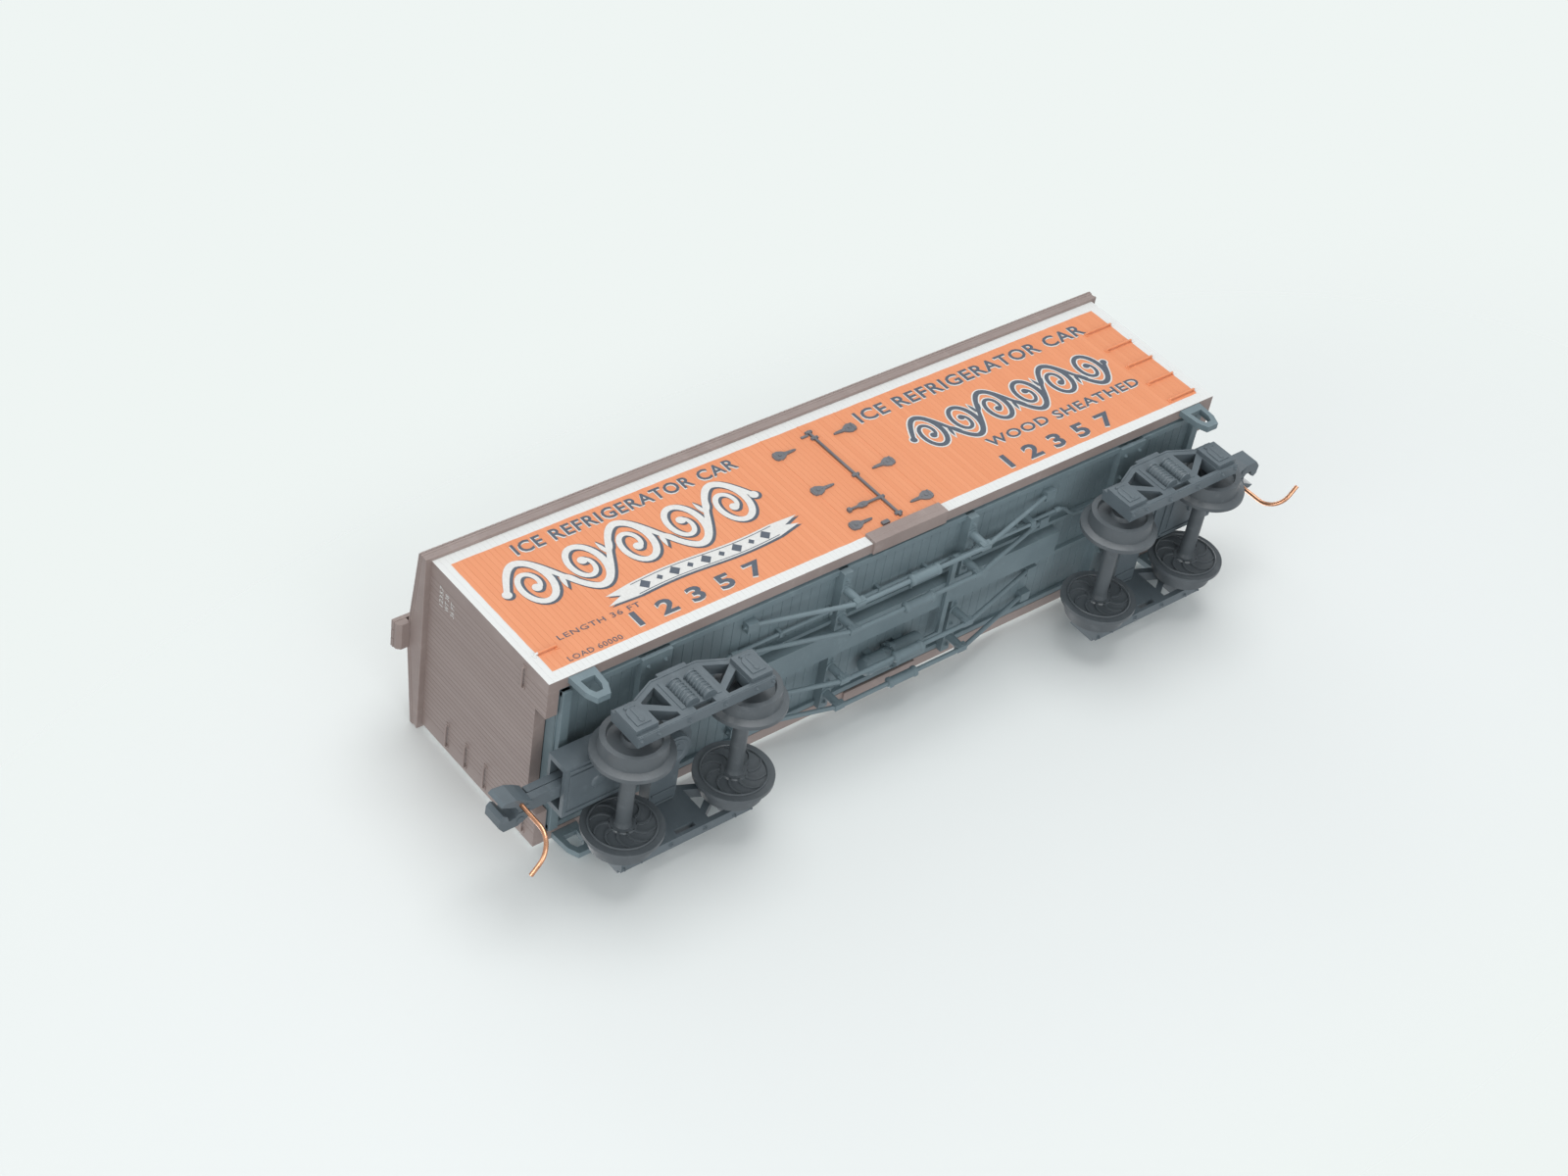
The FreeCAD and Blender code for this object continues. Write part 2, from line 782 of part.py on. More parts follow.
def make_brake_rigging():
    """The push rod, its crossing lever and the pull rod along the car."""
    x, y, z = dims.cylinder_x, dims.cylinder_y, dims.cylinder_level
    start = x + dims.cylinder_half
    lever = start + dims.lever_gap
    half = dims.lever_half_width
    thick = dims.lever_half_thick
    radius = dims.rigging_r
    pull_y = -dims.pull_rod_y
    hanger = lever + dims.hanger_start
    parts = [
        rod("push_rod", "x", radius, (start, y, z), dims.push_rod_length),
        block("brake_lever", (lever - half, -dims.lever_end_y, z - thick),
              (lever + half, y + dims.lever_overlap, z + thick)),
        rod("pull_rod", "x", radius, (lever, pull_y, z), dims.pull_rod_length),
        block("pull_rod_hanger", (hanger, pull_y - dims.hanger_half, z - dims.hanger_drop),
              (hanger + dims.hanger_length, pull_y + dims.hanger_half, dims.floor_low)),
    ]
    return fuse("brake_rigging", parts)


# ---- trucks -----------------------------------------------------------------

axle_level = dims.rail_top + dims.tread_r


def on_truck(item, end, z=0):
    """Move a piece drawn about the truck centre to its end of the car."""
    return put(item, x=dims.truck_centre * end, z=z, turn=0 if end > 0 else 180)


def side_frame_outline():
    """The arch bars, journal ends and tie bar of one side frame as one outline."""
    end = dims.frame_end
    right = [(end, dims.frame_foot), (end, dims.frame_shoulder),
             (dims.arch_start, dims.frame_shoulder), (dims.column_half, dims.arch_crown)]
    return right + mirrored_x(reversed(right))


def side_frame_windows():
    """The openings between the arch bars, the columns and the tie bar."""
    inner = dims.window_inner
    upper = [(dims.upper_window_outer, dims.upper_window_tip),
             (inner, dims.upper_window_top), (inner, dims.upper_window_low)]
    outer = dims.lower_window_outer
    lower = [(outer, dims.lower_window_low), (outer, dims.lower_window_top),
             (inner, dims.lower_window_step), (inner, dims.lower_window_low)]
    plank = dims.plank_window_half
    middle = rectangle(-plank, plank, dims.plank_window_low, dims.plank_window_high)
    windows = [middle]
    for outline in (upper, lower):
        windows += [outline, mirrored_x(outline)]
    return windows


def make_truck_frame(name, end):
    """Bolster, both side frames and the lower half of the coupler box in one moulding."""
    body = new_body(name)
    beam = dims.truck_bolster_half
    pad(body, "XY_Plane", [rectangle(-beam, beam, -dims.frame_outer, dims.frame_outer)],
        dims.truck_bolster_low, dims.truck_bolster_high)
    pad(body, "XY_Plane", [((0, 0), dims.truck_boss_r)],
        dims.truck_bolster_low, dims.truck_boss_high)
    half = dims.box_half
    pad(body, "XY_Plane", [rectangle(0, dims.box_front, -half, half)],
        dims.truck_bolster_low, dims.box_floor_high)
    inner = half - dims.box_wall
    walls = [(dims.box_rear, -half), (dims.box_front, -half), (dims.box_front, -inner),
             (dims.box_inner_rear, -inner), (dims.box_inner_rear, inner),
             (dims.box_front, inner), (dims.box_front, half), (dims.box_rear, half)]
    pad(body, "XY_Plane", [walls], dims.box_floor_high, dims.box_wall_high)
    pad(body, "XY_Plane", [((dims.post_x, 0), dims.post_r)],
        dims.box_floor_high, dims.box_wall_high)
    for side in SIDES:
        low, high = sorted((dims.frame_inner * side, dims.frame_outer * side),
                           key=lambda item: item.value)
        pad(body, "XZ_Plane", [side_frame_outline()], low, high)
        pocket(body, "XZ_Plane", side_frame_windows(), low, high)
        boxes = []
        for axle in SIDES:
            x = dims.half_wheelbase * axle
            boxes.append(rectangle(x - dims.journal_box_half, x + dims.journal_box_half,
                                   dims.journal_box_low, dims.journal_box_high))
        low, high = sorted((dims.frame_inner * side, dims.journal_box_outer * side),
                           key=lambda item: item.value)
        pad(body, "XZ_Plane", boxes, low, high)
        coils = [((place * dims.coil_r * COIL_SPREAD, dims.frame_outer * side), dims.coil_r)
                 for place in SIDES]
        pad(body, "XY_Plane", coils, dims.coil_low, dims.coil_high)
    pocket(body, "XY_Plane", [((0, 0), dims.truck_bore_r)],
           dims.truck_bolster_low, dims.truck_boss_high)
    cut_axle_sockets(body)
    return on_truck(body, end)


def cut_axle_sockets(body):
    """Needle-point bearings for both axles, a running fit round the axle ends."""
    start = dims.frame_inner - dims.socket_overlap
    for axle in SIDES:
        doc.recompute()
        before = body.Shape.Volume
        loops = []
        for side in SIDES:
            loops.append([(0, start * side), (dims.socket_r, start * side),
                          (dims.socket_r, dims.journal_end * side),
                          (dims.socket_tip_r, dims.socket_tip * side),
                          (0, dims.socket_tip * side)])
        offset = (dims.half_wheelbase * axle, 0, axle_level)
        sketch = new_sketch(body, "XY_Plane", loops, offset)
        groove = body.newObject("PartDesign::Groove", "Groove")
        groove.Profile = sketch
        groove.ReferenceAxis = (sketch, ["V_Axis"])
        groove.Angle = 360
        body.Tip = groove
        doc.recompute()
        if body.Shape.Volume >= before - 1e-6:
            raise ValueError("an axle socket cuts nothing")


def make_wheelset(name, end, axle):
    """Two flanged wheels and a needle-point axle in one piece."""
    flange_r = dims.tread_r + dims.rail_top
    face = dims.wheel_face
    dish = face - dims.dish_depth
    hub_face = face + dims.hub_rise
    half = [
        (dims.axle_r, dims.wheel_back), (flange_r, dims.wheel_back),
        (flange_r, dims.flange_face), (dims.tread_r + dims.tread_cone, dims.tread_start),
        (dims.tread_r - dims.tread_chamfer, face), (dims.dish_outer_r, face),
        (dims.dish_outer_r - dims.dish_draft, dish), (dims.dish_inner_r, dish),
        (dims.hub_r, hub_face), (dims.journal_r, hub_face),
        (dims.journal_r, dims.journal_end), (dims.axle_tip_r, dims.axle_tip),
        (0, dims.axle_tip),
    ]
    outline = half + [(radius, -y) for radius, y in reversed(half)]
    body = new_body(name)
    sketch = new_sketch(body, "XY_Plane", [outline], (0, 0, 0))
    turned = body.newObject("PartDesign::Revolution", "Revolution")
    turned.Profile = sketch
    turned.ReferenceAxis = (sketch, ["V_Axis"])
    turned.Angle = 360
    body.Tip = turned
    x = dims.truck_centre * end + dims.half_wheelbase * axle
    return put(body, x=x, z=axle_level)


def make_truck_pin(name, end):
    """The pin that hangs the truck from the body bolster, with its head under the truck."""
    shaft = rod(name + "_shaft", "z", dims.pin_r, (0, 0, dims.pin_head_low),
                dims.floor_high - dims.pin_head_low)
    head = rod(name + "_head", "z", dims.pin_head_r, (0, 0, dims.pin_head_low),
               dims.pin_head_high - dims.pin_head_low)
    return on_truck(fuse(name, [shaft, head]), end)


# ---- couplers ---------------------------------------------------------------

def shank_outline(front):
    """One shank seen from above: broad round the post, then narrow to the head."""
    tail = dims.tail_half
    narrow = dims.shank_half
    return [(dims.shank_rear, -tail), (dims.tail_end, -tail), (dims.neck_start, -narrow),
            (front, -narrow), (front, narrow), (dims.neck_start, narrow),
            (dims.tail_end, tail), (dims.shank_rear, tail)]


def cut_shank(body, low, high):
    """The hole for the post and, behind it, the slot for the spring."""
    hole = dims.post_hole_r
    pocket(body, "XY_Plane", [((dims.post_x, 0), hole)], low, high)
    slot = rectangle(dims.slot_rear, dims.post_x, -hole, hole)
    pocket(body, "XY_Plane", [slot], low, high)


def make_coupler_jaw(name, end):
    """The lower half: shank and fixed guard arm, bored for the trip pin."""
    body = new_body(name)
    low, high = dims.jaw_shank_low, dims.jaw_shank_high
    pad(body, "XY_Plane", [shank_outline(dims.jaw_shank_front)], low, high)
    arm = [(dims.arm_rear, dims.arm_inner), (dims.arm_elbow, dims.arm_inner),
           (dims.arm_elbow, dims.arm_elbow_rise), (dims.arm_throat, dims.arm_throat_y),
           (dims.arm_flare, dims.arm_flare_y), (dims.arm_tip, dims.arm_tip_y),
           (dims.arm_nose, dims.arm_nose_y), (dims.arm_throat, dims.arm_back_y),
           (dims.arm_shoulder, dims.arm_shoulder_y), (dims.arm_rear, dims.arm_rear_y)]
    pad(body, "XY_Plane", [arm], dims.head_low, dims.head_high)
    cut_shank(body, low, high)
    bore = ((dims.trip_x, dims.trip_y), dims.trip_r - dims.trip_squeeze)
    pocket(body, "XY_Plane", [bore], dims.head_low, dims.head_high)
    return on_truck(body, end)


def make_coupler_knuckle(name, end):
    """The upper half: shank and hooked knuckle, which swings open on the same post."""
    body = new_body(name)
    low, high = dims.knuckle_shank_low, dims.knuckle_shank_high
    front = dims.knuckle_shank_front
    inner = -dims.arm_inner
    pad(body, "XY_Plane", [shank_outline(front)], low, high)
    neck = rectangle(front, dims.neck_end, -dims.shank_half, inner)
    pad(body, "XY_Plane", [neck], low, high)
    hook = [(dims.hook_rear, inner), (dims.hook_heel, inner),
            (dims.hook_throat, -dims.hook_throat_y), (dims.hook_bend, -dims.hook_bend_y),
            (dims.hook_inside, dims.hook_inside_y), (dims.hook_point, dims.hook_point_y),
            (dims.hook_lip, dims.hook_lip_y), (dims.hook_face, -dims.hook_face_y),
            (dims.hook_toe, -dims.hook_outer_y), (dims.hook_heel, -dims.hook_outer_y),
            (dims.hook_rear, -dims.hook_rear_y)]
    pad(body, "XY_Plane", [hook], dims.head_low, dims.head_high)
    cut_shank(body, low, high)
    return on_truck(body, end)


def make_coupler_lid(name, end):
    """The cover that closes the coupler box and keeps the shanks on their post."""
    rear = dims.box_rear + dims.lid_gap
    lid = block(name, (0, 0, 0), (dims.box_front - rear, dims.box_half * 2,
                                  dims.lid_high - dims.box_wall_high))
    return put(lid, x=(dims.truck_centre + rear) * end, y=-dims.box_half * end,
               z=dims.box_wall_high, turn=0 if end > 0 else 180)


def make_trip_pin(name, end):
    """A copper wire that drops from the jaw and sweeps out sideways just above the rail."""
    across = Vector(math.cos(TRIP_HEADING), math.sin(TRIP_HEADING), 0)
    top = Vector(dims.trip_x.value, dims.trip_y.value, dims.head_high.value)
    bend = dims.trip_bend_r.value
    knee = Vector(top.x, top.y, dims.trip_bottom.value + bend)
    centre = knee + across * bend
    middle = centre - (across + Vector(0, 0, 1)) * (bend / math.sqrt(2))
    foot = centre - Vector(0, 0, bend)
    path = Part.Wire([
        Part.LineSegment(top, knee).toShape(),
        Part.Arc(knee, middle, foot).toShape(),
        Part.LineSegment(foot, foot + across * dims.trip_tip.value).toShape(),
    ])
    section = Part.Wire(Part.makeCircle(dims.trip_r.value, top, Vector(0, 0, -1)))
    pin = doc.addObject("Part::Feature", name)
    pin.Shape = path.makePipeShell([section], True, True)
    return on_truck(pin, end)


def make_coupler_spring(name, end):
    """The coil behind the post that centres the shanks and closes the knuckle."""
    helix = Part.makeHelix(dims.spring_pitch.value, dims.spring_length.value,
                           dims.spring_mean_r.value)
    start = Vector(dims.spring_mean_r.value, 0, 0)
    section = Part.Wire(Part.makeCircle(dims.spring_wire_r.value, start, Vector(0, 1, 0)))
    spring = doc.addObject("Part::Feature", name)
    spring.Shape = Part.Wire(helix.Edges).makePipeShell([section], True, True)
    middle = (dims.jaw_shank_high.value + dims.knuckle_shank_low.value) / 2
    rear = dims.truck_centre.value + dims.slot_rear.value + dims.spring_gap.value
    heading = Rotation(Vector(0, 0, 1), 0 if end > 0 else 180)
    spring.Placement = Placement(Vector(rear * end, 0, middle), heading * AXIS_TURNS["x"])
    return spring


# ---- assembly ---------------------------------------------------------------

def make_parts():
    """Every sub-part by its node name."""
    made = {
        "body_shell": make_body_shell(),
        "underframe": make_underframe(),
        "floor_weight": make_floor_weight(),
        "running_board": make_running_board(),
        "brake_staff": make_brake_staff(),
        "brake_wheel": make_brake_wheel(),
        "brake_step": make_brake_step(),
        "brake_cylinder": make_brake_cylinder(),
        "brake_rigging": make_brake_rigging(),
    }
    for end, letter in ((-1, "a"), (1, "b")):
        for side, word in ((-1, "near"), (1, "far")):
            name = f"ice_hatch_{letter}_{word}"
            made[name] = make_ice_hatch(name, end, side)
            name = f"stirrup_step_{letter}_{word}"
            made[name] = make_stirrup_step(name, end, side)
        for axle, word in ((1, "outer"), (-1, "inner")):
            name = f"wheelset_{letter}_{word}"
            made[name] = make_wheelset(name, end, axle * end)
        builders = {
            "truck_frame": make_truck_frame,
            "truck_pin": make_truck_pin,
            "coupler_lid": make_coupler_lid,
            "coupler_jaw": make_coupler_jaw,
            "coupler_knuckle": make_coupler_knuckle,
            "trip_pin": make_trip_pin,
            "coupler_spring": make_coupler_spring,
        }
        for stem, builder in builders.items():
            name = f"{stem}_{letter}"
            made[name] = builder(name, end)
    for side, word in ((-1, "near"), (1, "far")):
        for distance, place in ((dims.outer_rod_y, "outer"), (dims.inner_rod_y, "inner")):
            name = f"truss_rod_{word}_{place}"
            made[name] = make_truss_rod(name, distance * side)
    return made


def check_document():
    for item in doc.Objects:
        if "Invalid" in item.State or "Error" in item.State:
            raise ValueError(f"{item.Label} failed: {item.State}")


parts = make_parts()
doc.recompute()
check_document()
os.makedirs("parts", exist_ok=True)
for name, part in parts.items():
    if part.Shape.isNull() or not part.Shape.isValid() or part.Shape.Volume < 1e-4:
        raise ValueError(f"{name} has no valid solid")
for name, part in parts.items():
    part.Label = name
    part.Shape.exportStep(f"parts/{name}.step")
    print(f"{name}: {len(part.Shape.Solids)} solid, {part.Shape.Volume:.2f} mm3")
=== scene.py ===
from math import ceil, cos, floor, hypot, pi, radians, sin

import bmesh
import bpy
from mathutils import Matrix, Vector


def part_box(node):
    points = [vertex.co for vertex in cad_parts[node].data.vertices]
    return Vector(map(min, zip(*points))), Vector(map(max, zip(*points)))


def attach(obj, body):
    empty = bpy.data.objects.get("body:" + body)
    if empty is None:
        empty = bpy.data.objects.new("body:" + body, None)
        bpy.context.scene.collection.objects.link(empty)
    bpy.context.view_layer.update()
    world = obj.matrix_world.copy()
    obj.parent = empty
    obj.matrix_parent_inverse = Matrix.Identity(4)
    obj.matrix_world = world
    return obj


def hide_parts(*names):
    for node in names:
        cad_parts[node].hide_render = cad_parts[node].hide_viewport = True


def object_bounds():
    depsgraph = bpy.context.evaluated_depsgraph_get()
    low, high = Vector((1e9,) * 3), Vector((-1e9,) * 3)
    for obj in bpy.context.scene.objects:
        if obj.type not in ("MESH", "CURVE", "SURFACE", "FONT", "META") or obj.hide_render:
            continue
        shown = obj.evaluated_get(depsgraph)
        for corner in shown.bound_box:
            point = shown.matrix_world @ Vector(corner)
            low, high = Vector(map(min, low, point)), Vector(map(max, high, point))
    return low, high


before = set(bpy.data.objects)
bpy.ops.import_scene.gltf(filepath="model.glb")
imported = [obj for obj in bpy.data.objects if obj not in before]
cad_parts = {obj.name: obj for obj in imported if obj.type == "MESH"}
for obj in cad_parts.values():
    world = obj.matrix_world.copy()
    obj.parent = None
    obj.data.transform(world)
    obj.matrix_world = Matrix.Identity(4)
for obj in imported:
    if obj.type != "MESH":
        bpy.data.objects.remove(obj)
cad_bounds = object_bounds()

# An N scale wood-sheathed refrigerator car. Sizes are in millimetres in the CAD's frame:
# +X along the car, +Y to the far side, +Z up. Every Blender piece is written in metres.
MM = 0.001
SIDES = (-1, 1)
SIDE_WORDS = {-1: "near", 1: "far"}
END_LETTERS = {-1: "a", 1: "b"}


def box_mm(node):
    low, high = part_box(node)
    return low / MM, high / MM


SHELL_HIGH = box_mm("body_shell")[1]
FLOOR_LOW, FLOOR_HIGH = box_mm("underframe")
WALK_LOW, WALK_HIGH = box_mm("running_board")
STEP_HIGH = box_mm("stirrup_step_b_near")[1]
STAFF_HIGH = box_mm("brake_staff")[1]
WHEEL_LOW, WHEEL_HIGH = box_mm("brake_wheel")
PIN_LOW, PIN_HIGH = box_mm("truck_pin_b")
OUTER_LOW, OUTER_HIGH = box_mm("wheelset_b_outer")
BARREL_LOW = box_mm("brake_cylinder")[0]

# body shell
SHELL = ["body_shell"]
END_OVERHANG = 0.54
SIDE_OVERHANG = 0.31
HALF_LENGTH = SHELL_HIGH.x - END_OVERHANG
HALF_WIDTH = SHELL_HIGH.y - SIDE_OVERHANG
SILL = STEP_HIGH.z
EAVE_LOW = SILL + 15.24
EAVE_HIGH = EAVE_LOW + 0.94
RIDGE = SHELL_HIGH.z
ROOF_HALF = SHELL_HIGH.y
ROOF_REACH = SHELL_HIGH.x
ROOF_SLOPE = (RIDGE - EAVE_HIGH) / ROOF_HALF
WALL = 1.0
NOTCH_HALF = HALF_WIDTH - 3.5
NOTCH_TOP = SILL + 1.28
BOARD_PITCH = HALF_LENGTH / 72
GROOVE_HALF = 0.03
GROOVE_DEPTH = 0.018
BORDER = 1.0
DOOR_HALF = 3.81
PRINT_LIFT = 0.008
PRINT_THICK = 0.012
LAYER = 0.016
OVERLAP = 0.002
# Edges stay sharp on smooth pieces, or get a bevel on others, from these angles on.
SHARP_ANGLE = radians(35)
BEVEL_ANGLE = radians(40)

# trucks
TRUCK_CENTRE = (PIN_LOW.x + PIN_HIGH.x) / 2
AXLE_LEVEL = (OUTER_LOW.z + OUTER_HIGH.z) / 2
HALF_WHEELBASE = (OUTER_LOW.x + OUTER_HIGH.x) / 2 - TRUCK_CENTRE
WHEEL_BACK = 3.8
FRAME_FACE = 7.1
BOX_FACE = 7.5
BOX_FLOOR = 5.1
HOOK_TOP = 7.1
HOOK_BOTTOM = 5.3


# ---- outlines and closed shells

# Where a flat drawing (u, v) lands at a level w along each axis.
ALONG = {
    "x": lambda u, v, w: (w, u, v),
    "y": lambda u, v, w: (u, w, v),
    "z": lambda u, v, w: (u, v, w),
}


def rect(u_low, u_high, v_low, v_high):
    return [(u_low, v_low), (u_high, v_low), (u_high, v_high), (u_low, v_high)]


def polar(u, v, radius, turn):
    return u + radius * cos(turn), v + radius * sin(turn)


def disc(u, v, radius, sides):
    return [polar(u, v, radius, 2 * pi * i / sides) for i in range(sides)]


def leaned(points, angle, u=0, v=0):
    """Points turned about the origin and then moved to u and v."""
    c, s = cos(angle), sin(angle)
    return [(u + a * c - b * s, v + a * s + b * c) for a, b in points]


def mirrored(half):
    """An outline from its upper half, drawn from right to left."""
    return half + [(u, -v) for u, v in reversed(half)]


def spaced(low, high, count):
    return [low + (high - low) * i / count for i in range(count + 1)]


def outward(side, near, far):
    """A stretch between two distances from the middle, low end first."""
    return sorted((side * near, side * far))


class Build:
    """Collects closed shells and turns them into one piece."""

    def __init__(self, move=ALONG["z"]):
        self.verts, self.faces, self.marks = [], [], []
        self.move = move

    def add(self, verts, faces):
        start = len(self.verts)
        self.verts += [Vector(self.move(*v)) for v in verts]
        self.faces += [[start + i for i in face] for face in faces]
        self.marks += [0] * len(faces)

    def loft(self, rings, closed=False):
        """A closed skin through rings of the same number of points."""
        count = len(rings[0])
        faces = []
        for i in range(len(rings) - (0 if closed else 1)):
            here, there = i * count, (i + 1) % len(rings) * count
            for k in range(count):
                j = (k + 1) % count
                faces.append([here + k, here + j, there + j, there + k])
        if not closed:
            last = (len(rings) - 1) * count
            faces += [list(range(count))[::-1], list(range(last, last + count))]
        self.add([point for ring in rings for point in ring], faces)

    def prism(self, outline, axis, low, high):
        """An outline extruded along an axis."""
        place = ALONG[axis]
        self.loft([[place(u, v, w) for u, v in outline] for w in (low, high)])

    def plate(self, u_low, u_high, v_low, v_high, low, high):
        self.prism(rect(u_low, u_high, v_low, v_high), "z", low, high)

    def turned(self, axis, centre, profile, sides=28):
        """Rings of (radius, level) along an axis, as turned on a lathe."""
        place = ALONG[axis]
        self.loft([[place(u, v, level) for u, v in disc(*centre, radius, sides)]
                   for radius, level in profile])

    def bar(self, axis, centre, radius, low, high, sides=20):
        self.turned(axis, centre, [(radius, low), (radius, high)], sides)

    def tube(self, path, radius, sides=10, closed=False):
        """A round wire along a list of points."""
        points = [Vector(p) for p in path]
        first, last = points[0], points[-1]
        row = [last, *points, first] if closed else [first, *points, last]
        rings, across = [], None
        for before, point, after in zip(row, points, row[2:]):
            ahead = (after - before).normalized()
            across = across or ahead.orthogonal()
            across = (across - ahead * across.dot(ahead)).normalized()
            other = ahead.cross(across)
            rings.append([point + across * a + other * b for a, b in disc(0, 0, radius, sides)])
        self.loft(rings, closed)

    def piece(self, name, *materials, **settings):
        """Turn the shells into one piece, with the settings of add_piece."""
        mesh = bpy.data.meshes.new(name)
        mesh.from_pydata([v * MM for v in self.verts], [], self.faces)
        mesh.validate()
        if len(materials) > 1:
            mesh.polygons.foreach_set("material_index", self.marks)
        add_piece(name, mesh, materials, **settings)


def add_object(name, data):
    thing = bpy.data.objects.new(name, data)
    bpy.context.scene.collection.objects.link(thing)
    return thing


def add_piece(name, mesh, materials, body="car_body", slot=None, bevel=0, smooth=False,
              replaces=()):
    """Make an object that rides on its body."""
    for material in materials:
        mesh.materials.append(material)
    thing = add_object(name, mesh)
    square_up(mesh)
    if smooth:
        mesh.polygons.foreach_set("use_smooth", [True] * len(mesh.polygons))
        mesh.set_sharp_from_angle(angle=SHARP_ANGLE)
    if bevel:
        round_edges(thing, bevel)
    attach(thing, body)
    if replaces:
        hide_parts(*replaces)


def square_up(mesh, weld=0.0):
    """Make every face of the closed shells look outwards."""
    work = bmesh.new()
    work.from_mesh(mesh)
    if weld:
        bmesh.ops.remove_doubles(work, verts=work.verts, dist=weld)
    bmesh.ops.recalc_face_normals(work, faces=work.faces)
    work.to_mesh(mesh)
    work.free()


def round_edges(thing, width):
    bevel = thing.modifiers.new("rounded_edges", "BEVEL")
    bevel.width = width * MM
    bevel.segments = 2
    bevel.limit_method = "ANGLE"
    bevel.angle_limit = BEVEL_ANGLE
    bevel.use_clamp_overlap = True


def joints_between(low, high):
    """A panel's edges and the board joints between them, on the common pitch."""
    first = floor(low / BOARD_PITCH) + 1
    last = ceil(high / BOARD_PITCH) - 1
    return [low] + [k * BOARD_PITCH for k in range(first, last + 1)] + [high]


def board_panel(build, joints, low, high, thick, groove=GROOVE_HALF, depth=GROOVE_DEPTH,
                place=ALONG["z"]):
    """Boards side by side with a V groove at each joint, as one closed shell.

    place(u, v, d) gives the point at u along the joints' row, v along a board, d into it.
    A second material, if the piece has one, goes on every face but the boards' fronts.
    """
    profile = [(joints[0], 0)]
    for joint in joints[1:-1]:
        profile += [(joint - groove, 0), (joint, depth), (joint + groove, 0)]
    profile.append((joints[-1], 0))
    count = len(profile)
    verts = []
    for level in (low, high):
        verts += [place(u, level, d) for u, d in profile]
        verts += [place(u, level, thick) for u, d in profile]

    def quad(i, row, other):
        a, b = row * count + i, other * count + i
        return [a, a + 1, b + 1, b]

    front = [quad(i, 0, 2) for i in range(count - 1)]
    rest = [quad(i, *rows) for i in range(count - 1) for rows in ((1, 3), (0, 1), (2, 3))]
    rest += [[i, count + i, 3 * count + i, 2 * count + i] for i in (0, count - 1)]
    build.add(verts, front + rest)
    build.marks[-len(rest):] = [1] * len(rest)


# ---- materials

JOINT_CORE = 0.03
JOINT_EDGE = 0.11


def add_node(tree, kind, inputs=None, **settings):
    """A shader node with its settings, its inputs linked or set."""
    made = tree.nodes.new("ShaderNode" + kind)
    for key, value in settings.items():
        setattr(made, key, value)
    for key, value in (inputs or {}).items():
        if isinstance(value, bpy.types.NodeSocket):
            tree.links.new(value, made.inputs[key])
        else:
            made.inputs[key].default_value = value
    return made


class Paint:
    """A short way to write a node material."""

    def __init__(self, name, **constants):
        self.material = bpy.data.materials.new(name)
        self.material.use_nodes = True
        self.tree = self.material.node_tree
        self.shader = self.tree.nodes["Principled BSDF"]
        for socket, value in constants.items():
            self.shader.inputs[socket.replace("_", " ")].default_value = value
        self.place = self.node("TexCoord").outputs["Object"]

    def node(self, kind, inputs=None, **settings):
        return add_node(self.tree, kind, inputs, **settings)

    def maths(self, operation, first, second=0.0):
        return self.node("Math", {0: first, 1: second}, operation=operation).outputs[0]

    def share(self, factor, value):
        """A part of a value, to weaken a mix."""
        return self.maths("MULTIPLY", value, factor)

    def noise(self, scale, detail=3.0, roughness=0.6, stretch=None):
        where = self.place
        if stretch:
            where = self.node("Mapping", {"Vector": where, "Scale": stretch}).outputs[0]
        return self.node("TexNoise", {"Vector": where, "Scale": scale, "Detail": detail,
                                      "Roughness": roughness}).outputs["Fac"]

    def span(self, value, low, high, to_low=0.0, to_high=1.0):
        return self.node("MapRange", {"Value": value, "From Min": low, "From Max": high,
                                      "To Min": to_low, "To Max": to_high}).outputs[0]

    def mix(self, factor, first, second):
        first, second = ((*value, 1) if isinstance(value, (tuple, list)) else value
                         for value in (first, second))
        return self.node("Mix", {0: factor, 6: first, 7: second}, data_type="RGBA").outputs[2]

    def axis(self, index):
        return self.node("SeparateXYZ", {"Vector": self.place}).outputs[index]

    def bump(self, height, strength, distance, **under):
        return self.node("Bump", {"Height": height, "Strength": strength,
                                  "Distance": distance * MM, **under}).outputs[0]

    def finish(self, color, pattern, rough, normal):
        """Connect the shader. Its roughness follows a pattern."""
        gloss = self.span(pattern, 0.3, 0.7, *rough)
        for socket, value in (("Base Color", color), ("Roughness", gloss), ("Normal", normal)):
            self.tree.links.new(value, self.shader.inputs[socket])
        return self.material

    def joint_lines(self, axis=0):
        """1 in the joints between the boards, 0 on their faces."""
        cell = self.maths("ADD", self.maths("DIVIDE", self.axis(axis), BOARD_PITCH * MM), 0.5)
        offset = self.maths("ABSOLUTE", self.maths("SUBTRACT", self.maths("FRACT", cell), 0.5))
        return self.span(offset, JOINT_CORE, JOINT_EDGE, 1.0, 0.0)

    def board_tone(self, axis=0):
        """A random value for each board."""
        cell = self.maths("FLOOR", self.maths("DIVIDE", self.axis(axis), BOARD_PITCH * MM))
        return self.node("TexWhiteNoise", {"W": cell}, noise_dimensions="1D").outputs["Value"]


def plastic(name, color, dark, rough=(0.42, 0.6), **constants):
    """Moulded plastic: a cloudy tone, a fine skin and faint handling marks."""
    paint = Paint(name, **constants)
    cloud = paint.noise(260, 4)
    skin = paint.noise(9000, 2)
    rubs = paint.noise(900, 5, 0.7, (1, 1, 0.25))
    tone = paint.mix(paint.span(cloud, 0.3, 0.7), dark, color)
    pale = [min(1.0, c * 1.25 + 0.03) for c in color]
    tone = paint.mix(paint.span(rubs, 0.56, 0.74, 0.0, 0.45), tone, pale)
    under = paint.bump(cloud, 0.12, 0.05)
    return paint.finish(tone, rubs, rough, paint.bump(skin, 0.2, 0.02, Normal=under))


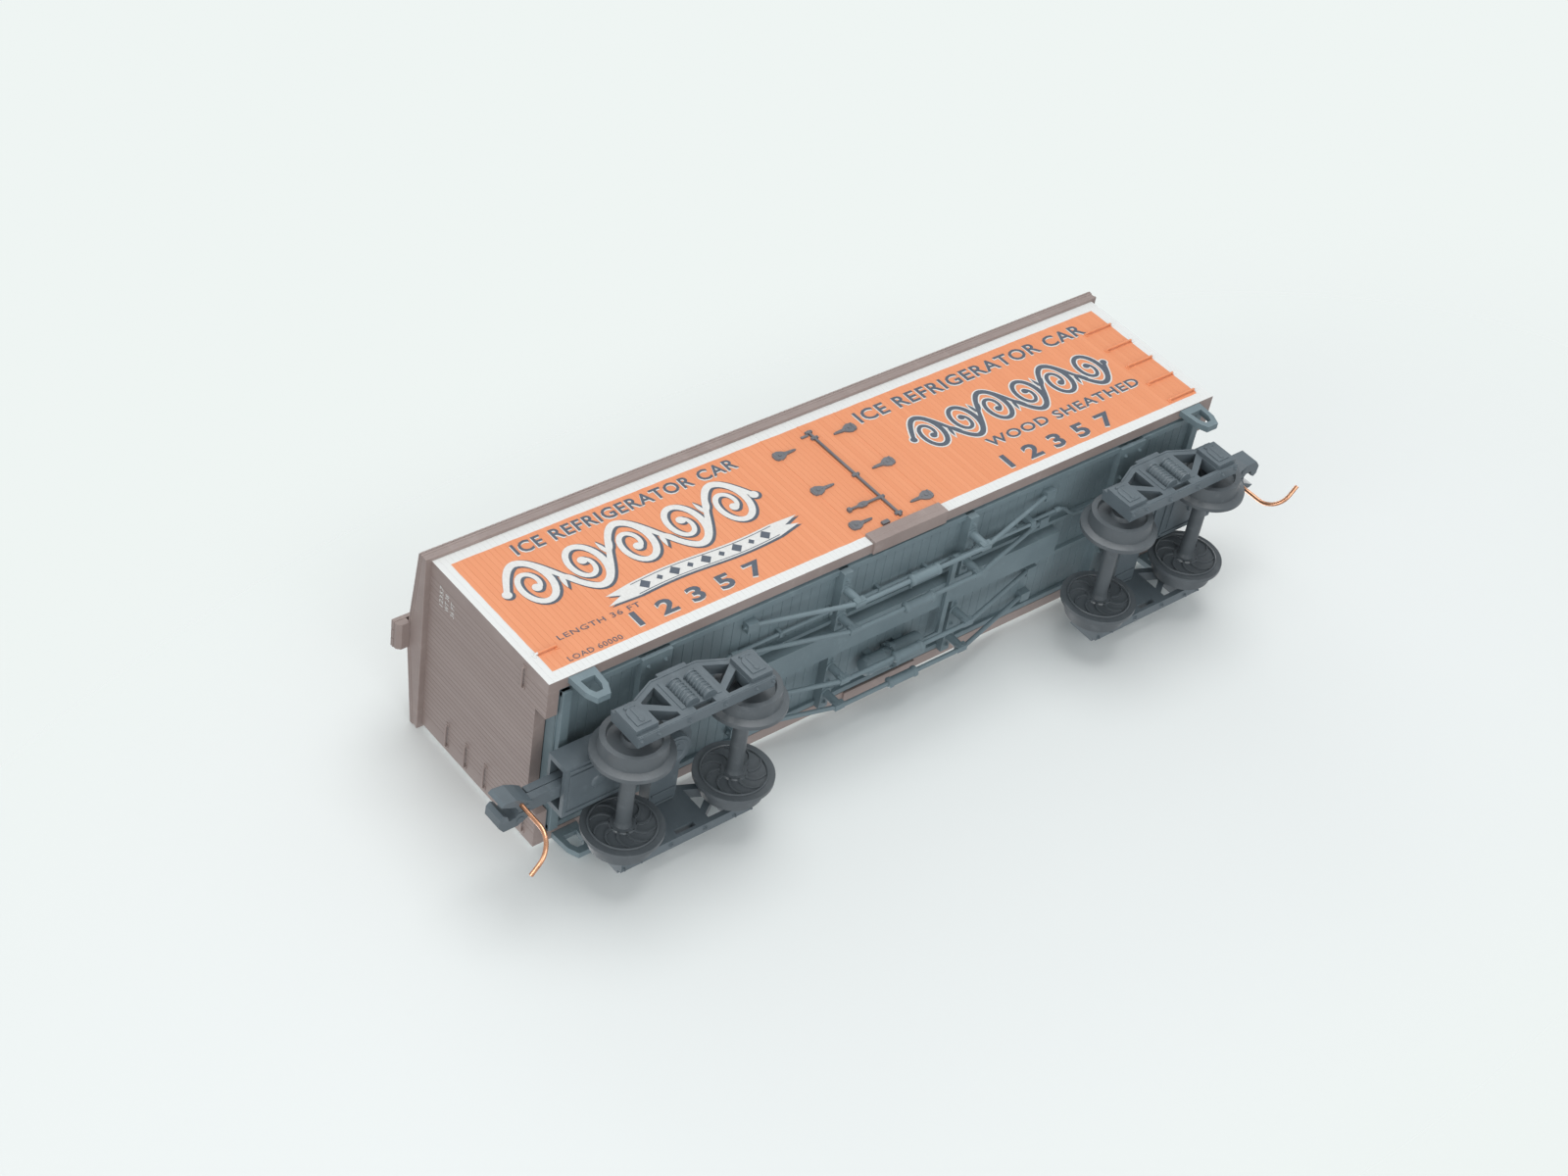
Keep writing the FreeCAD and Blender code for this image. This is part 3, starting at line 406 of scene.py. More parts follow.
def boarded_paint(name, axis, joint_dirt_and_shade_share):
    """Flat paint on boards: each a little different, with dirt and painted shade in the joints."""
    paint = Paint(name)
    grain = paint.noise(2200, 5, 0.65, (1, 1, 0.08))
    cloud = paint.noise(180, 4)
    tone = paint.mix(paint.share(0.6, paint.board_tone(axis)), BROWN, BROWN_DEEP)
    tone = paint.mix(paint.span(cloud, 0.35, 0.75, 0.0, 0.35), tone, BROWN_DEEP)
    # Darker in the joints: dirt and painted shade in the grooves.
    tone = paint.mix(paint.share(joint_dirt_and_shade_share, paint.joint_lines(axis)), tone, BROWN_JOINT_DIRT_AND_SHADE)
    return paint.finish(tone, grain, (0.48, 0.66), paint.bump(grain, 0.25, 0.012))


ORANGE = (0.76, 0.295, 0.14)
ORANGE_DEEP = (0.73, 0.27, 0.122)
# The orange and white joint colours are dirt and painted shade in the grooves between the boards.
ORANGE_JOINT_DIRT_AND_SHADE = (0.58, 0.185, 0.075)
BORDER_WHITE = (0.715, 0.725, 0.71)
BORDER_JOINT_DIRT_AND_SHADE = (0.5, 0.44, 0.4)
BROWN = (0.31, 0.25, 0.23)
BROWN_DEEP = (0.27, 0.212, 0.194)
# The brown joint colour is dirt and painted shade in the grooves between the boards.
BROWN_JOINT_DIRT_AND_SHADE = (0.14, 0.105, 0.094)
# A tone and its deeper shade.
SLATE = ((0.165, 0.222, 0.245), (0.138, 0.187, 0.208))
TRUCK_GREY = ((0.12, 0.15, 0.168), (0.096, 0.12, 0.136))
WHEEL_GREY = ((0.105, 0.12, 0.13), (0.082, 0.095, 0.104))
HARDWARE = ((0.165, 0.168, 0.18), (0.13, 0.133, 0.144))
INK_DARK = ((0.095, 0.115, 0.145), (0.07, 0.087, 0.115))
INK_LIGHT = ((0.72, 0.72, 0.70), (0.66, 0.655, 0.63))
RED_METAL = ((0.86, 0.46, 0.28), (0.62, 0.30, 0.17))
GREY_METAL = ((0.60, 0.59, 0.57), (0.42, 0.40, 0.38))


def side_paint():
    """Orange boards inside a white border with a slightly uneven edge."""
    paint = Paint("side_paint", Coat_Weight=0.12, Coat_Roughness=0.35)
    wander = paint.share(0.12 * MM, paint.maths("SUBTRACT", paint.noise(700, 3), 0.5))
    reach = paint.maths("ADD", paint.maths("ABSOLUTE", paint.axis(0)), wander)
    level = paint.maths("ADD", paint.axis(2), wander)
    middle = (SILL + EAVE_LOW) / 2 * MM
    rise = paint.maths("ABSOLUTE", paint.maths("SUBTRACT", level, middle))
    soft = 0.02 * MM
    limits = ((reach, HALF_LENGTH - BORDER), (rise, (EAVE_LOW - SILL) / 2 - BORDER))
    inside = [paint.span(distance, limit * MM - soft, limit * MM + soft, 1, 0)
              for distance, limit in limits]
    grain = paint.noise(2600, 5, 0.65, (1, 1, 0.06))
    cloud = paint.noise(140, 4)
    orange = paint.mix(paint.board_tone(), ORANGE_DEEP, ORANGE)
    orange = paint.mix(paint.span(cloud, 0.35, 0.8, 0.0, 0.5), orange, ORANGE_DEEP)
    joints = paint.joint_lines()
    # Darker in the joints on the orange and on the white border: dirt and painted shade in the
    # grooves.
    orange = paint.mix(paint.share(0.08, joints), orange, ORANGE_JOINT_DIRT_AND_SHADE)
    white = paint.mix(paint.share(0.06, joints), BORDER_WHITE, BORDER_JOINT_DIRT_AND_SHADE)
    tone = paint.mix(paint.maths("MULTIPLY", *inside), white, orange)
    return paint.finish(tone, grain, (0.38, 0.52), paint.bump(grain, 0.22, 0.012))


def print_ink(name, color, deep):
    """Pad-printed ink, thinner over the joints between the boards and darker there as painted shade
    of the grooves.
    """
    paint = Paint(name)
    speck = paint.noise(5200, 3)
    joints = paint.joint_lines()
    tone = paint.mix(paint.span(speck, 0.35, 0.7), deep, color)
    # Darker over the joints: painted shade of the grooves under the print.
    tone = paint.mix(paint.share(0.08, joints), tone, [c * 0.5 + 0.06 for c in deep])
    return paint.finish(tone, speck, (0.42, 0.56), paint.bump(joints, -0.2, 0.03))


def wire(name, color, deep):
    """Drawn metal wire with fine lines along it and a little tarnish."""
    paint = Paint(name, Metallic=1.0)
    lines = paint.noise(14000, 2, 0.5, (1, 1, 0.15))
    tarnish = paint.noise(1500, 4)
    tone = paint.mix(paint.span(tarnish, 0.4, 0.75), color, deep)
    return paint.finish(tone, lines, (0.22, 0.38), paint.bump(lines, 0.15, 0.01))


SIDE_PAINT = side_paint()
END_PAINT = boarded_paint("end_paint", 1, 0.35)
ROOF_PAINT = boarded_paint("roof_paint", 0, 0.7)
SHELL_PLASTIC = plastic("shell_plastic", BROWN, BROWN_DEEP)
UNDER_PLASTIC = plastic("underframe_plastic", *SLATE, (0.45, 0.62))
TRUCK_PLASTIC = plastic("truck_plastic", *TRUCK_GREY, (0.34, 0.5), Specular_IOR_Level=0.55)
WHEEL_PLASTIC = plastic("wheel_plastic", *WHEEL_GREY, (0.28, 0.42))
HARDWARE_PAINT = plastic("hardware_paint", *HARDWARE, (0.4, 0.55))
DARK_INK = print_ink("dark_ink", *INK_DARK)
WHITE_INK = print_ink("white_ink", *INK_LIGHT)
COPPER = wire("copper_wire", *RED_METAL)
STEEL = wire("steel_wire", *GREY_METAL)


# ---- body shell

def side_place(side):
    """Points on a side: u to the viewer's right, v up, d in from the face."""
    return lambda u, v, d: (-side * u, side * (HALF_WIDTH - d), v)


def end_place(end):
    """Points on an end: u to the viewer's right, v up, d in from the face."""
    return lambda u, v, d: (end * (HALF_LENGTH - d), end * u, v)


def roof_place(side):
    """Points on a slope: u along the car, v out from the ridge, d down from the surface."""
    return lambda u, v, d: (u, side * v, RIDGE - ROOF_SLOPE * v - d)


def on_both_sides(stem, draw, *materials, **settings):
    """One piece on each side of the body, drawn by a function."""
    for side, word in SIDE_WORDS.items():
        build = Build(side_place(side))
        draw(build)
        build.piece(f"{stem}_{word}", *materials, **settings)


def draw_side(build):
    board_panel(build, joints_between(-HALF_LENGTH, HALF_LENGTH), SILL, EAVE_LOW, WALL)


def make_ends():
    inner = HALF_WIDTH - WALL
    panels = ((-inner, -NOTCH_HALF, SILL), (-NOTCH_HALF, NOTCH_HALF, NOTCH_TOP),
              (NOTCH_HALF, inner, SILL))
    for end, letter in END_LETTERS.items():
        build = Build(end_place(end))
        for left, right, low in panels:
            board_panel(build, joints_between(left, right), low, EAVE_LOW, WALL)
        build.piece(f"end_sheathing_{letter}", END_PAINT, SHELL_PLASTIC, replaces=SHELL)


def make_roof():
    """Boards across the car on both slopes over a core that ends in a moulded fascia."""
    skin = 0.16
    inset = 0.05
    strip = 0.2
    half = ROOF_HALF - inset
    edge = EAVE_HIGH - skin
    crown = RIDGE - skin
    core = Build()
    gable = [(-half, EAVE_LOW), (half, EAVE_LOW), (half, edge), (0, crown), (-half, edge)]
    core.prism(gable, "x", inset - ROOF_REACH, ROOF_REACH - inset)
    core.piece("roof_core", SHELL_PLASTIC, bevel=0.05, replaces=SHELL)
    moulding = Build()
    reach = ROOF_REACH - 0.01
    for side in SIDES:
        low, high = outward(side, half - inset, ROOF_HALF - 0.01)
        for bottom in (EAVE_LOW, edge - strip):
            moulding.plate(-reach, reach, low, high, bottom, bottom + strip)
    top = [(-half, edge - strip), (0, crown - strip), (half, edge - strip), (half, edge),
           (0, crown), (-half, edge)]
    for end in SIDES:
        low, high = outward(end, ROOF_REACH - 2 * inset, reach)
        moulding.prism(rect(-half, half, EAVE_LOW, EAVE_LOW + strip), "x", low, high)
        moulding.prism(top, "x", low, high)
    moulding.piece("roof_moulding", SHELL_PLASTIC, bevel=0.03, replaces=SHELL)
    for side, word in SIDE_WORDS.items():
        build = Build(roof_place(side))
        board_panel(build, joints_between(-ROOF_REACH, ROOF_REACH), 0.0, ROOF_HALF, skin,
                    groove=0.05, depth=0.08)
        build.piece(f"roof_boards_{word}", ROOF_PAINT, replaces=SHELL)


# ---- door and side hardware

THRESHOLD_TOP = SILL + 1.05
HINGE_LEVELS = (SILL + 12.0, SILL + 7.1, SILL + 2.35)
ROD_U = 0.25
ROD_LOW = SILL + 1.45
ROD_HIGH = SILL + 13.3
ROD_GUIDES = (SILL + 13.15, SILL + 12.35, SILL + 7.1, SILL + 3.97, SILL + 1.8)
LEVER_LEVEL = SILL + 3.96
LADDER_LEVELS = [SILL + 1.4 + 2.6 * i for i in range(5)]
SIDE_LADDER = (30.4, 33.4)
SIDE_GRAB = (-33.5, -31.6)
END_LADDER = (-8.0, -5.7)
END_GRAB = (5.9, 7.9)
GRAB_LEVEL = SILL + 2.95
RUNG_RADIUS = 0.085
RUNG_LIFT = 0.2
RUNG_BEND = 0.13


def draw_threshold(build):
    """The sill block under a pair of doors, with its bolts."""
    build.plate(-DOOR_HALF, DOOR_HALF, SILL - 0.2, THRESHOLD_TOP, -0.26, WALL)
    build.plate(-DOOR_HALF, DOOR_HALF, SILL + 0.3, SILL + 0.42, -0.28, 0)
    for bolt in (-3.2, -1.1, 1.1, 3.2):
        build.bar("z", (bolt, SILL + 0.75), 0.13, -0.28, 0, 6)


def draw_hinges(build):
    """Pointed hinge plates that narrow to a strap towards the door's middle."""
    plate = mirrored([(4.25, 0.2), (4.1, 0.42), (3.65, 0.52), (3.25, 0.36), (3.0, 0.16),
                      (2.25, 0.11), (2.0, 0.05)])
    for level in HINGE_LEVELS:
        for hand in SIDES:
            build.prism([(hand * u, level + v) for u, v in plate], "z", -0.14, 0.02)
            build.bar("y", (hand * 4.02, -0.1), 0.12, level - 0.42, level + 0.42)
            build.bar("z", (hand * 3.62, level), 0.15, -0.2, 0)
            for bolt in (3.2, 2.75, 2.3):
                build.bar("z", (hand * bolt, level), 0.07, -0.18, 0, 6)


def draw_latch(build):
    """The latch rod in its guides, with a top lug, a lever and its keeper."""
    build.bar("y", (ROD_U, -0.12), 0.12, ROD_LOW, ROD_HIGH, 14)
    for level in ROD_GUIDES:
        build.plate(ROD_U - 0.34, ROD_U + 0.34, level - 0.13, level + 0.13, -0.2, 0.02)
        for bolt in (-0.25, 0.25):
            build.bar("z", (ROD_U + bolt, level), 0.06, -0.24, 0, 6)
    build.plate(ROD_U - 0.95, ROD_U - 0.2, SILL + 12.8, SILL + 13.02, -0.12, 0.02)
    lever = mirrored([(0.0, 0.09), (-1.35, 0.1), (-1.62, 0.26), (-2.13, 0.26), (-2.4, 0.1),
                      (-3.3, 0.07)])
    build.prism([(ROD_U + u, LEVER_LEVEL + v) for u, v in lever], "z", -0.22, -0.06)
    build.bar("z", (ROD_U - 1.88, LEVER_LEVEL), 0.13, -0.27, 0)
    build.plate(ROD_U - 3.4, ROD_U - 3.1, LEVER_LEVEL - 0.2, LEVER_LEVEL + 0.2, -0.26, 0.02)
    build.plate(-1.75, -1.05, SILL + 1.25, SILL + 1.62, -0.2, 0.02)


def draw_battens(build):
    """Narrow strips over the doors' outer edges and the gap where they meet."""
    top = EAVE_LOW - 0.02
    for u in (-DOOR_HALF, DOOR_HALF):
        build.plate(u - 0.06, u + 0.06, THRESHOLD_TOP, top, -0.03, 0.04)
    build.plate(-0.1, 0.06, THRESHOLD_TOP, top, -0.04, 0.04)


def grab_path(place, u_low, u_high, level):
    """A grab iron: two short feet and a straight grip, with rounded corners."""
    bend = RUNG_BEND
    path = [(u_low, 0.04)] + [(u_low + bend - bend * cos(turn),
                               -bend * sin(turn) - RUNG_LIFT + bend)
                              for turn in (0, 0.52, 1.05, 1.57)]
    path += [(u_low + u_high - u, d) for u, d in reversed(path)]
    return [place(u, level, d) for u, d in path]


def rungs_and_feet(place, ladder, grab):
    """The rungs of a ladder, one low grab iron and the blocks that they stand on."""
    rungs, feet = Build(), Build(place)
    for low, high, level in [(*ladder, level) for level in LADDER_LEVELS] + [(*grab, GRAB_LEVEL)]:
        rungs.tube(grab_path(place, low, high, level), RUNG_RADIUS)
        for u in (low, high):
            feet.plate(u - 0.16, u + 0.16, level - 0.2, level + 0.2, -0.07, 0.02)
    return rungs, feet


def make_ladders():
    for side, word in SIDE_WORDS.items():
        rungs, feet = rungs_and_feet(side_place(side), SIDE_LADDER, SIDE_GRAB)
        rungs.piece(f"side_rungs_{word}", SIDE_PAINT, smooth=True, replaces=SHELL)
        feet.piece(f"rung_feet_{word}", SIDE_PAINT, bevel=0.02)
    for end, letter in END_LETTERS.items():
        rungs, feet = rungs_and_feet(end_place(end), END_LADDER, END_GRAB)
        feet.piece(f"end_rung_feet_{letter}", SHELL_PLASTIC, bevel=0.02)
        rungs.piece(f"end_rungs_{letter}", SHELL_PLASTIC, smooth=True, replaces=SHELL)


# ---- printed markings

def letters(name, text, face, spot, ink, lift=PRINT_LIFT, bold=0.0):
    """Generic words or plain figures, fitted to a spot: left, right, base and height.

    Bold thickens the strokes. It suits letters and the figures 1, 2, 3, 5 and 7: the small
    closed parts of the others would fold over.
    """
    left, right, base, height = spot
    curve = bpy.data.curves.new(name, "FONT")
    curve.body = text
    curve.extrude = 0.5
    curve.offset = bold
    curve.resolution_u = 3
    curve.space_character = 1.12
    holder = add_object(name, curve)
    bpy.context.view_layer.update()
    graph = bpy.context.evaluated_depsgraph_get()
    mesh = bpy.data.meshes.new_from_object(holder.evaluated_get(graph))
    bpy.data.objects.remove(holder)
    square_up(mesh, weld=1e-5)
    xs, ys, _ = zip(*(vertex.co for vertex in mesh.vertices))
    x_low, y_low = min(xs), min(ys)
    wide, tall = (right - left) / (max(xs) - x_low), height / (max(ys) - y_low)
    for vertex in mesh.vertices:
        x, y, z = vertex.co
        vertex.co = Vector(face(left + (x - x_low) * wide, base + (y - y_low) * tall,
                                -(lift + PRINT_THICK * (0.5 + z)))) * MM
    add_piece(name, mesh, [ink])


def stroke(build, path, widths, lift):
    """A flat brush stroke along a path."""
    rings = []
    top = -lift - PRINT_THICK
    for i, (u, v) in enumerate(path):
        before = path[max(i - 1, 0)]
        after = path[min(i + 1, len(path) - 1)]
        du, dv = after[0] - before[0], after[1] - before[1]
        size = hypot(du, dv)
        a, b = -dv / size * widths[i] / 2, du / size * widths[i] / 2
        rings.append([(u + a, v + b, -lift), (u + a, v + b, top), (u - a, v - b, top),
                      (u - a, v - b, -lift)])
    build.loft(rings)


def decal(build, outline, lift):
    build.prism(outline, "z", -lift - PRINT_THICK, -lift)


def leaf(u, v, long, wide, lean):
    """A pointed oval standing on a point, leaning by an angle."""
    half = [(wide * sin(pi * t) * (1 - 0.35 * t), long * t)
            for t in (0.0, 0.15, 0.3, 0.45, 0.6, 0.8, 1.0)]
    return leaned(half + [(-a, b) for a, b in reversed(half[1:-1])], lean, u, v)


def scrollwork(build, left, right, middle, height, units, pen, lift, grow, drop):
    """A waving stem with leaves and a spiral tendril inside every wave."""
    pitch = (right - left) / units
    rise = height / 2
    squeeze = (pitch / 2 - pen) / rise
    ball = pen * 0.72 + grow / 2
    du, dv = drop
    steps = 24 * units
    stem, widths = [], []
    for i in range(steps + 1):
        part = i / steps
        stem.append((left + (right - left) * part + du,
                     middle + rise * sin(pi * units * part) + dv))
        widths.append(pen * (0.8 + 0.3 * abs(sin(pi * units * i / steps))) + grow)
    stroke(build, stem, widths, lift)
    for tip in (stem[0], stem[-1]):
        decal(build, disc(*tip, ball, 18), lift + 2 * OVERLAP)
    for unit in range(units):
        hand = 1 if unit % 2 == 0 else -1
        centre = left + pitch * (unit + 0.5)
        tendril, widths = [], []
        turns = 44
        for i in range(turns + 1):
            part = i / turns
            radius = rise * (0.84 * (1 - part) ** 0.8 + 0.16)
            angle = 2.9 * pi * part
            tendril.append((centre + squeeze * radius * sin(angle) + du,
                            middle + hand * radius * cos(angle) + dv))
            widths.append(pen * (1.15 - 0.55 * part) + grow)
        stroke(build, tendril, widths, lift + OVERLAP)
        decal(build, disc(*tendril[-1], ball, 18), lift + 2 * OVERLAP)
        for place, lean in enumerate((-0.7, 0.15) if unit else ()):
            shape = leaf(centre - pitch / 2 + du, middle + dv, rise * 0.62 + grow,
                         pen * 0.42 + grow / 2, lean if hand > 0 else pi - lean)
            decal(build, shape, lift + (3 + place) * OVERLAP)


# Left, right, middle height, height, waves and pen width of each scroll.
SCROLL_LEFT = (-31.6, -8.4, SILL + 9.3, 5.2, 5, 0.56)
SCROLL_RIGHT = (7.4, 29.0, SILL + 8.2, 4.3, 6, 0.42)
# Name, scroll, ink, layer, growth of the strokes and shift of the whole.
SCROLL_LAYERS = (
    ("scroll_left_shadow", SCROLL_LEFT, DARK_INK, 0, 0.2, (0.12, -0.12)),
    ("scroll_left", SCROLL_LEFT, WHITE_INK, 1, 0.0, (0, 0)),
    ("scroll_right_rim", SCROLL_RIGHT, WHITE_INK, 0, 0.26, (0, 0)),
    ("scroll_right", SCROLL_RIGHT, DARK_INK, 1, 0.0, (0, 0)),
)
# Left, right, low and high edges of the ribbon.
RIBBON = (-23.0, -9.6, SILL + 4.35, SILL + 5.85)
# Name, words, spot (left, right, base, height) and boldness.
TITLE_ROWS = (
    ("heading_left", "ICE REFRIGERATOR CAR", (-28.4, -7.3, SILL + 12.55, 1.25), 0.018),
    ("heading_right", "ICE REFRIGERATOR CAR", (5.0, 30.6, SILL + 12.0, 1.4), 0.018),
    ("number_left", "1 2 3 5 7", (-25.0, -12.9, SILL + 1.6, 1.6), 0.03),
    ("number_right", "1 2 3 5 7", (12.2, 24.4, SILL + 1.45, 1.7), 0.03),
    ("words_right", "WOOD SHEATHED", (12.6, 29.8, SILL + 4.3, 1.05), 0.018),
)
SMALL_ROWS = (
    ("data_upper", "LENGTH 36 FT", (-31.0, -23.6, SILL + 3.4, 0.5)),
    ("data_lower", "LOAD 60000", (-31.6, -26.8, SILL + 1.2, 0.5)),
)
END_ROWS = ("12357", "WT 38", "36 FT")


def make_scrolls(face, word):
    """Light with a dark shadow at the left, dark with a light rim at the right."""
    for stem, sizes, ink, layer, grow, drop in SCROLL_LAYERS:
        build = Build(face)
        scrollwork(build, *sizes, PRINT_LIFT + LAYER * layer, grow, drop)
        build.piece(f"{stem}_{word}", ink)


def make_ribbon(face, word):
    """A waving banner with forked ends and a row of lozenges."""
    left, right, low, high = RIBBON
    middle = (low + high) / 2

    def waved(level):
        return [(u, level + ribbon_wave(u)) for u in spaced(left, right, 40)]

    head = [(left - 2.4, high - 0.35), (left - 1.3, middle - 0.05), (left - 2.8, low + 0.15)]
    tail = [(right + 2.2, low + 0.5), (right + 1.1, middle + 0.1), (right + 2.6, high - 0.1)]
    outline = waved(low) + tail + waved(high)[::-1] + head
    shadow, banner, marks = Build(face), Build(face), Build(face)
    decal(shadow, [(u + 0.16, v - 0.2) for u, v in outline], PRINT_LIFT)
    shadow.piece(f"ribbon_shadow_{word}", DARK_INK)
    decal(banner, outline, PRINT_LIFT + LAYER)
    banner.piece(f"ribbon_{word}", WHITE_INK)
    above = PRINT_LIFT + 2 * LAYER
    for place, u in enumerate(spaced(left + 1.0, right - 1.0, 8)):
        v = middle + ribbon_wave(u)
        size = (high - low) * (0.2 if place % 2 else 0.34)
        decal(marks, [(u - size, v), (u, v - size), (u + size, v), (u, v + size)], above)
    for edge in (low + 0.14, high - 0.2):
        line = waved(edge)
        stroke(marks, line, [0.06] * len(line), above)
    marks.piece(f"ribbon_marks_{word}", DARK_INK)


def ribbon_wave(u):
    left, right = RIBBON[:2]
    return 0.16 * sin(2 * pi * (u - left) / (right - left))


def make_lettering(face, word):
    """Dark rows, the larger ones with a light edge at their lower left."""
    for stem, text, spot, bold in TITLE_ROWS:
        left, right, base, height = spot
        shine = (left - 0.08, right - 0.08, base - 0.1, height)
        letters(f"{stem}_shine_{word}", text, face, shine, WHITE_INK, PRINT_LIFT, bold)
        letters(f"{stem}_{word}", text, face, spot, DARK_INK, PRINT_LIFT + LAYER, bold)
    for stem, text, spot in SMALL_ROWS:
        letters(f"{stem}_{word}", text, face, spot, DARK_INK)


def make_end_lettering(end, letter):
    for row, text in enumerate(END_ROWS):
        spot = (5.25, 7.15 - 0.25 * row, SILL + 13.5 - 0.75 * row, 0.46)
        letters(f"end_data_{row}_{letter}", text, end_place(end), spot, WHITE_INK)


# ---- roof and end fittings

SADDLE_COUNT = 11
SADDLE_PITCH = 5.6
PLANK_GAP = 0.07
PLANK_LENGTH = 14.0
HATCH_NEAR = 2.3
HATCH_FAR = 6.7
HATCH_HALF = 2.1
HATCH_WALL = 0.3
HATCH_LIP = 0.22
COAMING = 0.42
LID_THICK = 0.3
LID_TOP = 0.8
SPOKE_FOOT = 0.28
TEETH = 24


def make_running_board():
    """Three rows of planks on saddles, with a block under each overhanging end."""
    half, top, reach = WALK_HIGH.y, WALK_HIGH.z, WALK_HIGH.x
    under = top - 0.35
    width = (2 * half - 2 * PLANK_GAP) / 3
    build = Build()
    saddles = [SADDLE_PITCH * (place - (SADDLE_COUNT - 1) / 2) for place in range(SADDLE_COUNT)]
    for row in range(3):
        low = -half + row * (width + PLANK_GAP)
        cuts = [-reach]
        joint = -reach + PLANK_LENGTH * (0.45 + 0.25 * row)
        while joint < reach - 2:
            cuts.append(joint)
            joint += PLANK_LENGTH
        cuts.append(reach)
        for start, end in zip(cuts, cuts[1:]):
            build.plate(start + 0.02, end - 0.02, low, low + width, under, top)
        for x in saddles:
            for offset in (0.22, 0.78):
                build.bar("z", (x, low + width * offset), 0.055, top - 0.05, top + 0.012, 8)
    foot, seat = RIDGE - ROOF_SLOPE * half - 0.02, under + 0.02
    saddle = [(-half, foot), (0, RIDGE - 0.02), (half, foot), (half, seat), (-half, seat)]
    for x in saddles:
        build.prism(saddle, "x", x - 0.25, x + 0.25)
    for end in SIDES:
        wall, out = end * ROOF_REACH, end * reach
        block = [(wall, seat), (out - end * 0.06, seat), (out - end * 0.06, WALK_LOW.z + 0.3),
                 (out - end * 0.4, WALK_LOW.z), (wall, WALK_LOW.z)]
        build.prism(block, "y", -half + 0.04, half - 0.04)
    build.piece("running_board_planks", SHELL_PLASTIC, bevel=0.035, replaces=["running_board"])


def make_hatch(letter, side):
    """A coaming and a boarded lid with battens, hinges and a hold-down bar."""
    name = f"ice_hatch_{letter}_{SIDE_WORDS[side]}"
    low, high = box_mm(name)
    centre = (low.x + high.x) / 2
    slope = roof_place(side)
    build = Build(lambda u, v, w: slope(centre + u, v, -w))
    half, wall = HATCH_HALF, HATCH_WALL
    for u in (-half, half - wall):
        build.plate(u, u + wall, HATCH_NEAR, HATCH_FAR, -0.02, COAMING + 0.01)
    for v in (HATCH_NEAR + 0.02, HATCH_FAR - wall - 0.02):
        build.plate(wall / 2 - half, half - wall / 2, v, v + wall, -0.03, COAMING)
    reach = half + HATCH_LIP
    near, far = HATCH_NEAR - HATCH_LIP, HATCH_FAR + HATCH_LIP
    lid = COAMING + LID_THICK
    board_panel(build, spaced(-reach, reach, 5), near, far, LID_THICK, 0.04, 0.07,
                lambda u, v, d: (u, v, lid - d))
    root, crown = lid - 0.05, LID_TOP + 0.02
    for v in (near + 0.5, far - 0.9):
        build.plate(-reach + 0.15, reach - 0.15, v, v + 0.4, root, LID_TOP)
        for u in spaced(-reach + 0.45, reach - 0.45, 4):
            build.bar("z", (u, v + 0.2), 0.06, LID_TOP - 0.05, crown, 8)
    for u in (-1.2, 1.2):
        build.bar("x", (near + 0.1, lid - 0.02), 0.12, u - 0.35, u + 0.35, 14)
        build.plate(u - 0.14, u + 0.14, near + 0.1, near + 1.5, root, crown)
    build.plate(-0.12, 0.12, far - 1.3, far + 0.05, root, crown)
    build.plate(-0.3, 0.3, far - 0.02, far + 0.1, COAMING - 0.25, LID_TOP)
    build.piece(name + "_lid", SHELL_PLASTIC, bevel=0.03, replaces=[name])


def make_brake_wheel():
    """A round rim, a hub and dished spokes, over a nut, a ratchet and its pawl."""
    x, y = (WHEEL_LOW.x + WHEEL_HIGH.x) / 2, (WHEEL_LOW.y + WHEEL_HIGH.y) / 2
    z = (WHEEL_LOW.z + WHEEL_HIGH.z) / 2
    rim = 0.14
    radius = (WHEEL_HIGH.x - WHEEL_LOW.x) / 2 - rim
    build = Build()
    build.tube([(u, v, z) for u, v in disc(x, y, radius, 56)], rim, 14, closed=True)
    hub = ((0.2, z - 0.25), (0.36, z - 0.2), (0.36, z - 0.02), (0.26, z + 0.1), (0.2, z + 0.12))
    build.turned("z", (x, y), hub)
    for spoke in range(5):
        path = []
        for part in spaced(0, 1, 8):
            reach = SPOKE_FOOT + (radius - SPOKE_FOOT) * part
            path.append((*polar(x, y, reach, 2 * pi * spoke / 5),
                         z - 0.12 * cos(pi * part / 2)))
        build.tube(path, 0.085)
    build.piece("brake_wheel_rim", SHELL_PLASTIC, slot="underframe_plastic", smooth=True,
                replaces=["brake_wheel"])
    ratchet = Build()
    ratchet.bar("z", (x, y), 0.27, STAFF_HIGH.z - 0.16, STAFF_HIGH.z - 0.02, 6)
    level = box_mm("brake_step")[1].z
    teeth = [polar(x, y, 0.52 if i % 2 else 0.43, 2 * pi * i / TEETH) for i in range(TEETH)]
    ratchet.prism(teeth, "z", level + 0.02, level + 0.22)
    pawl = ((-0.75, 0.35), (-0.2, 0.62), (0.12, 0.46), (0.1, 0.6), (-0.2, 0.8), (-0.8, 0.62))
    ratchet.prism([(x + u, y + v) for u, v in pawl], "z", level - 0.02, level + 0.18)
    ratchet.piece("brake_ratchet", SHELL_PLASTIC, slot="underframe_plastic", bevel=0.02)


# ---- underframe

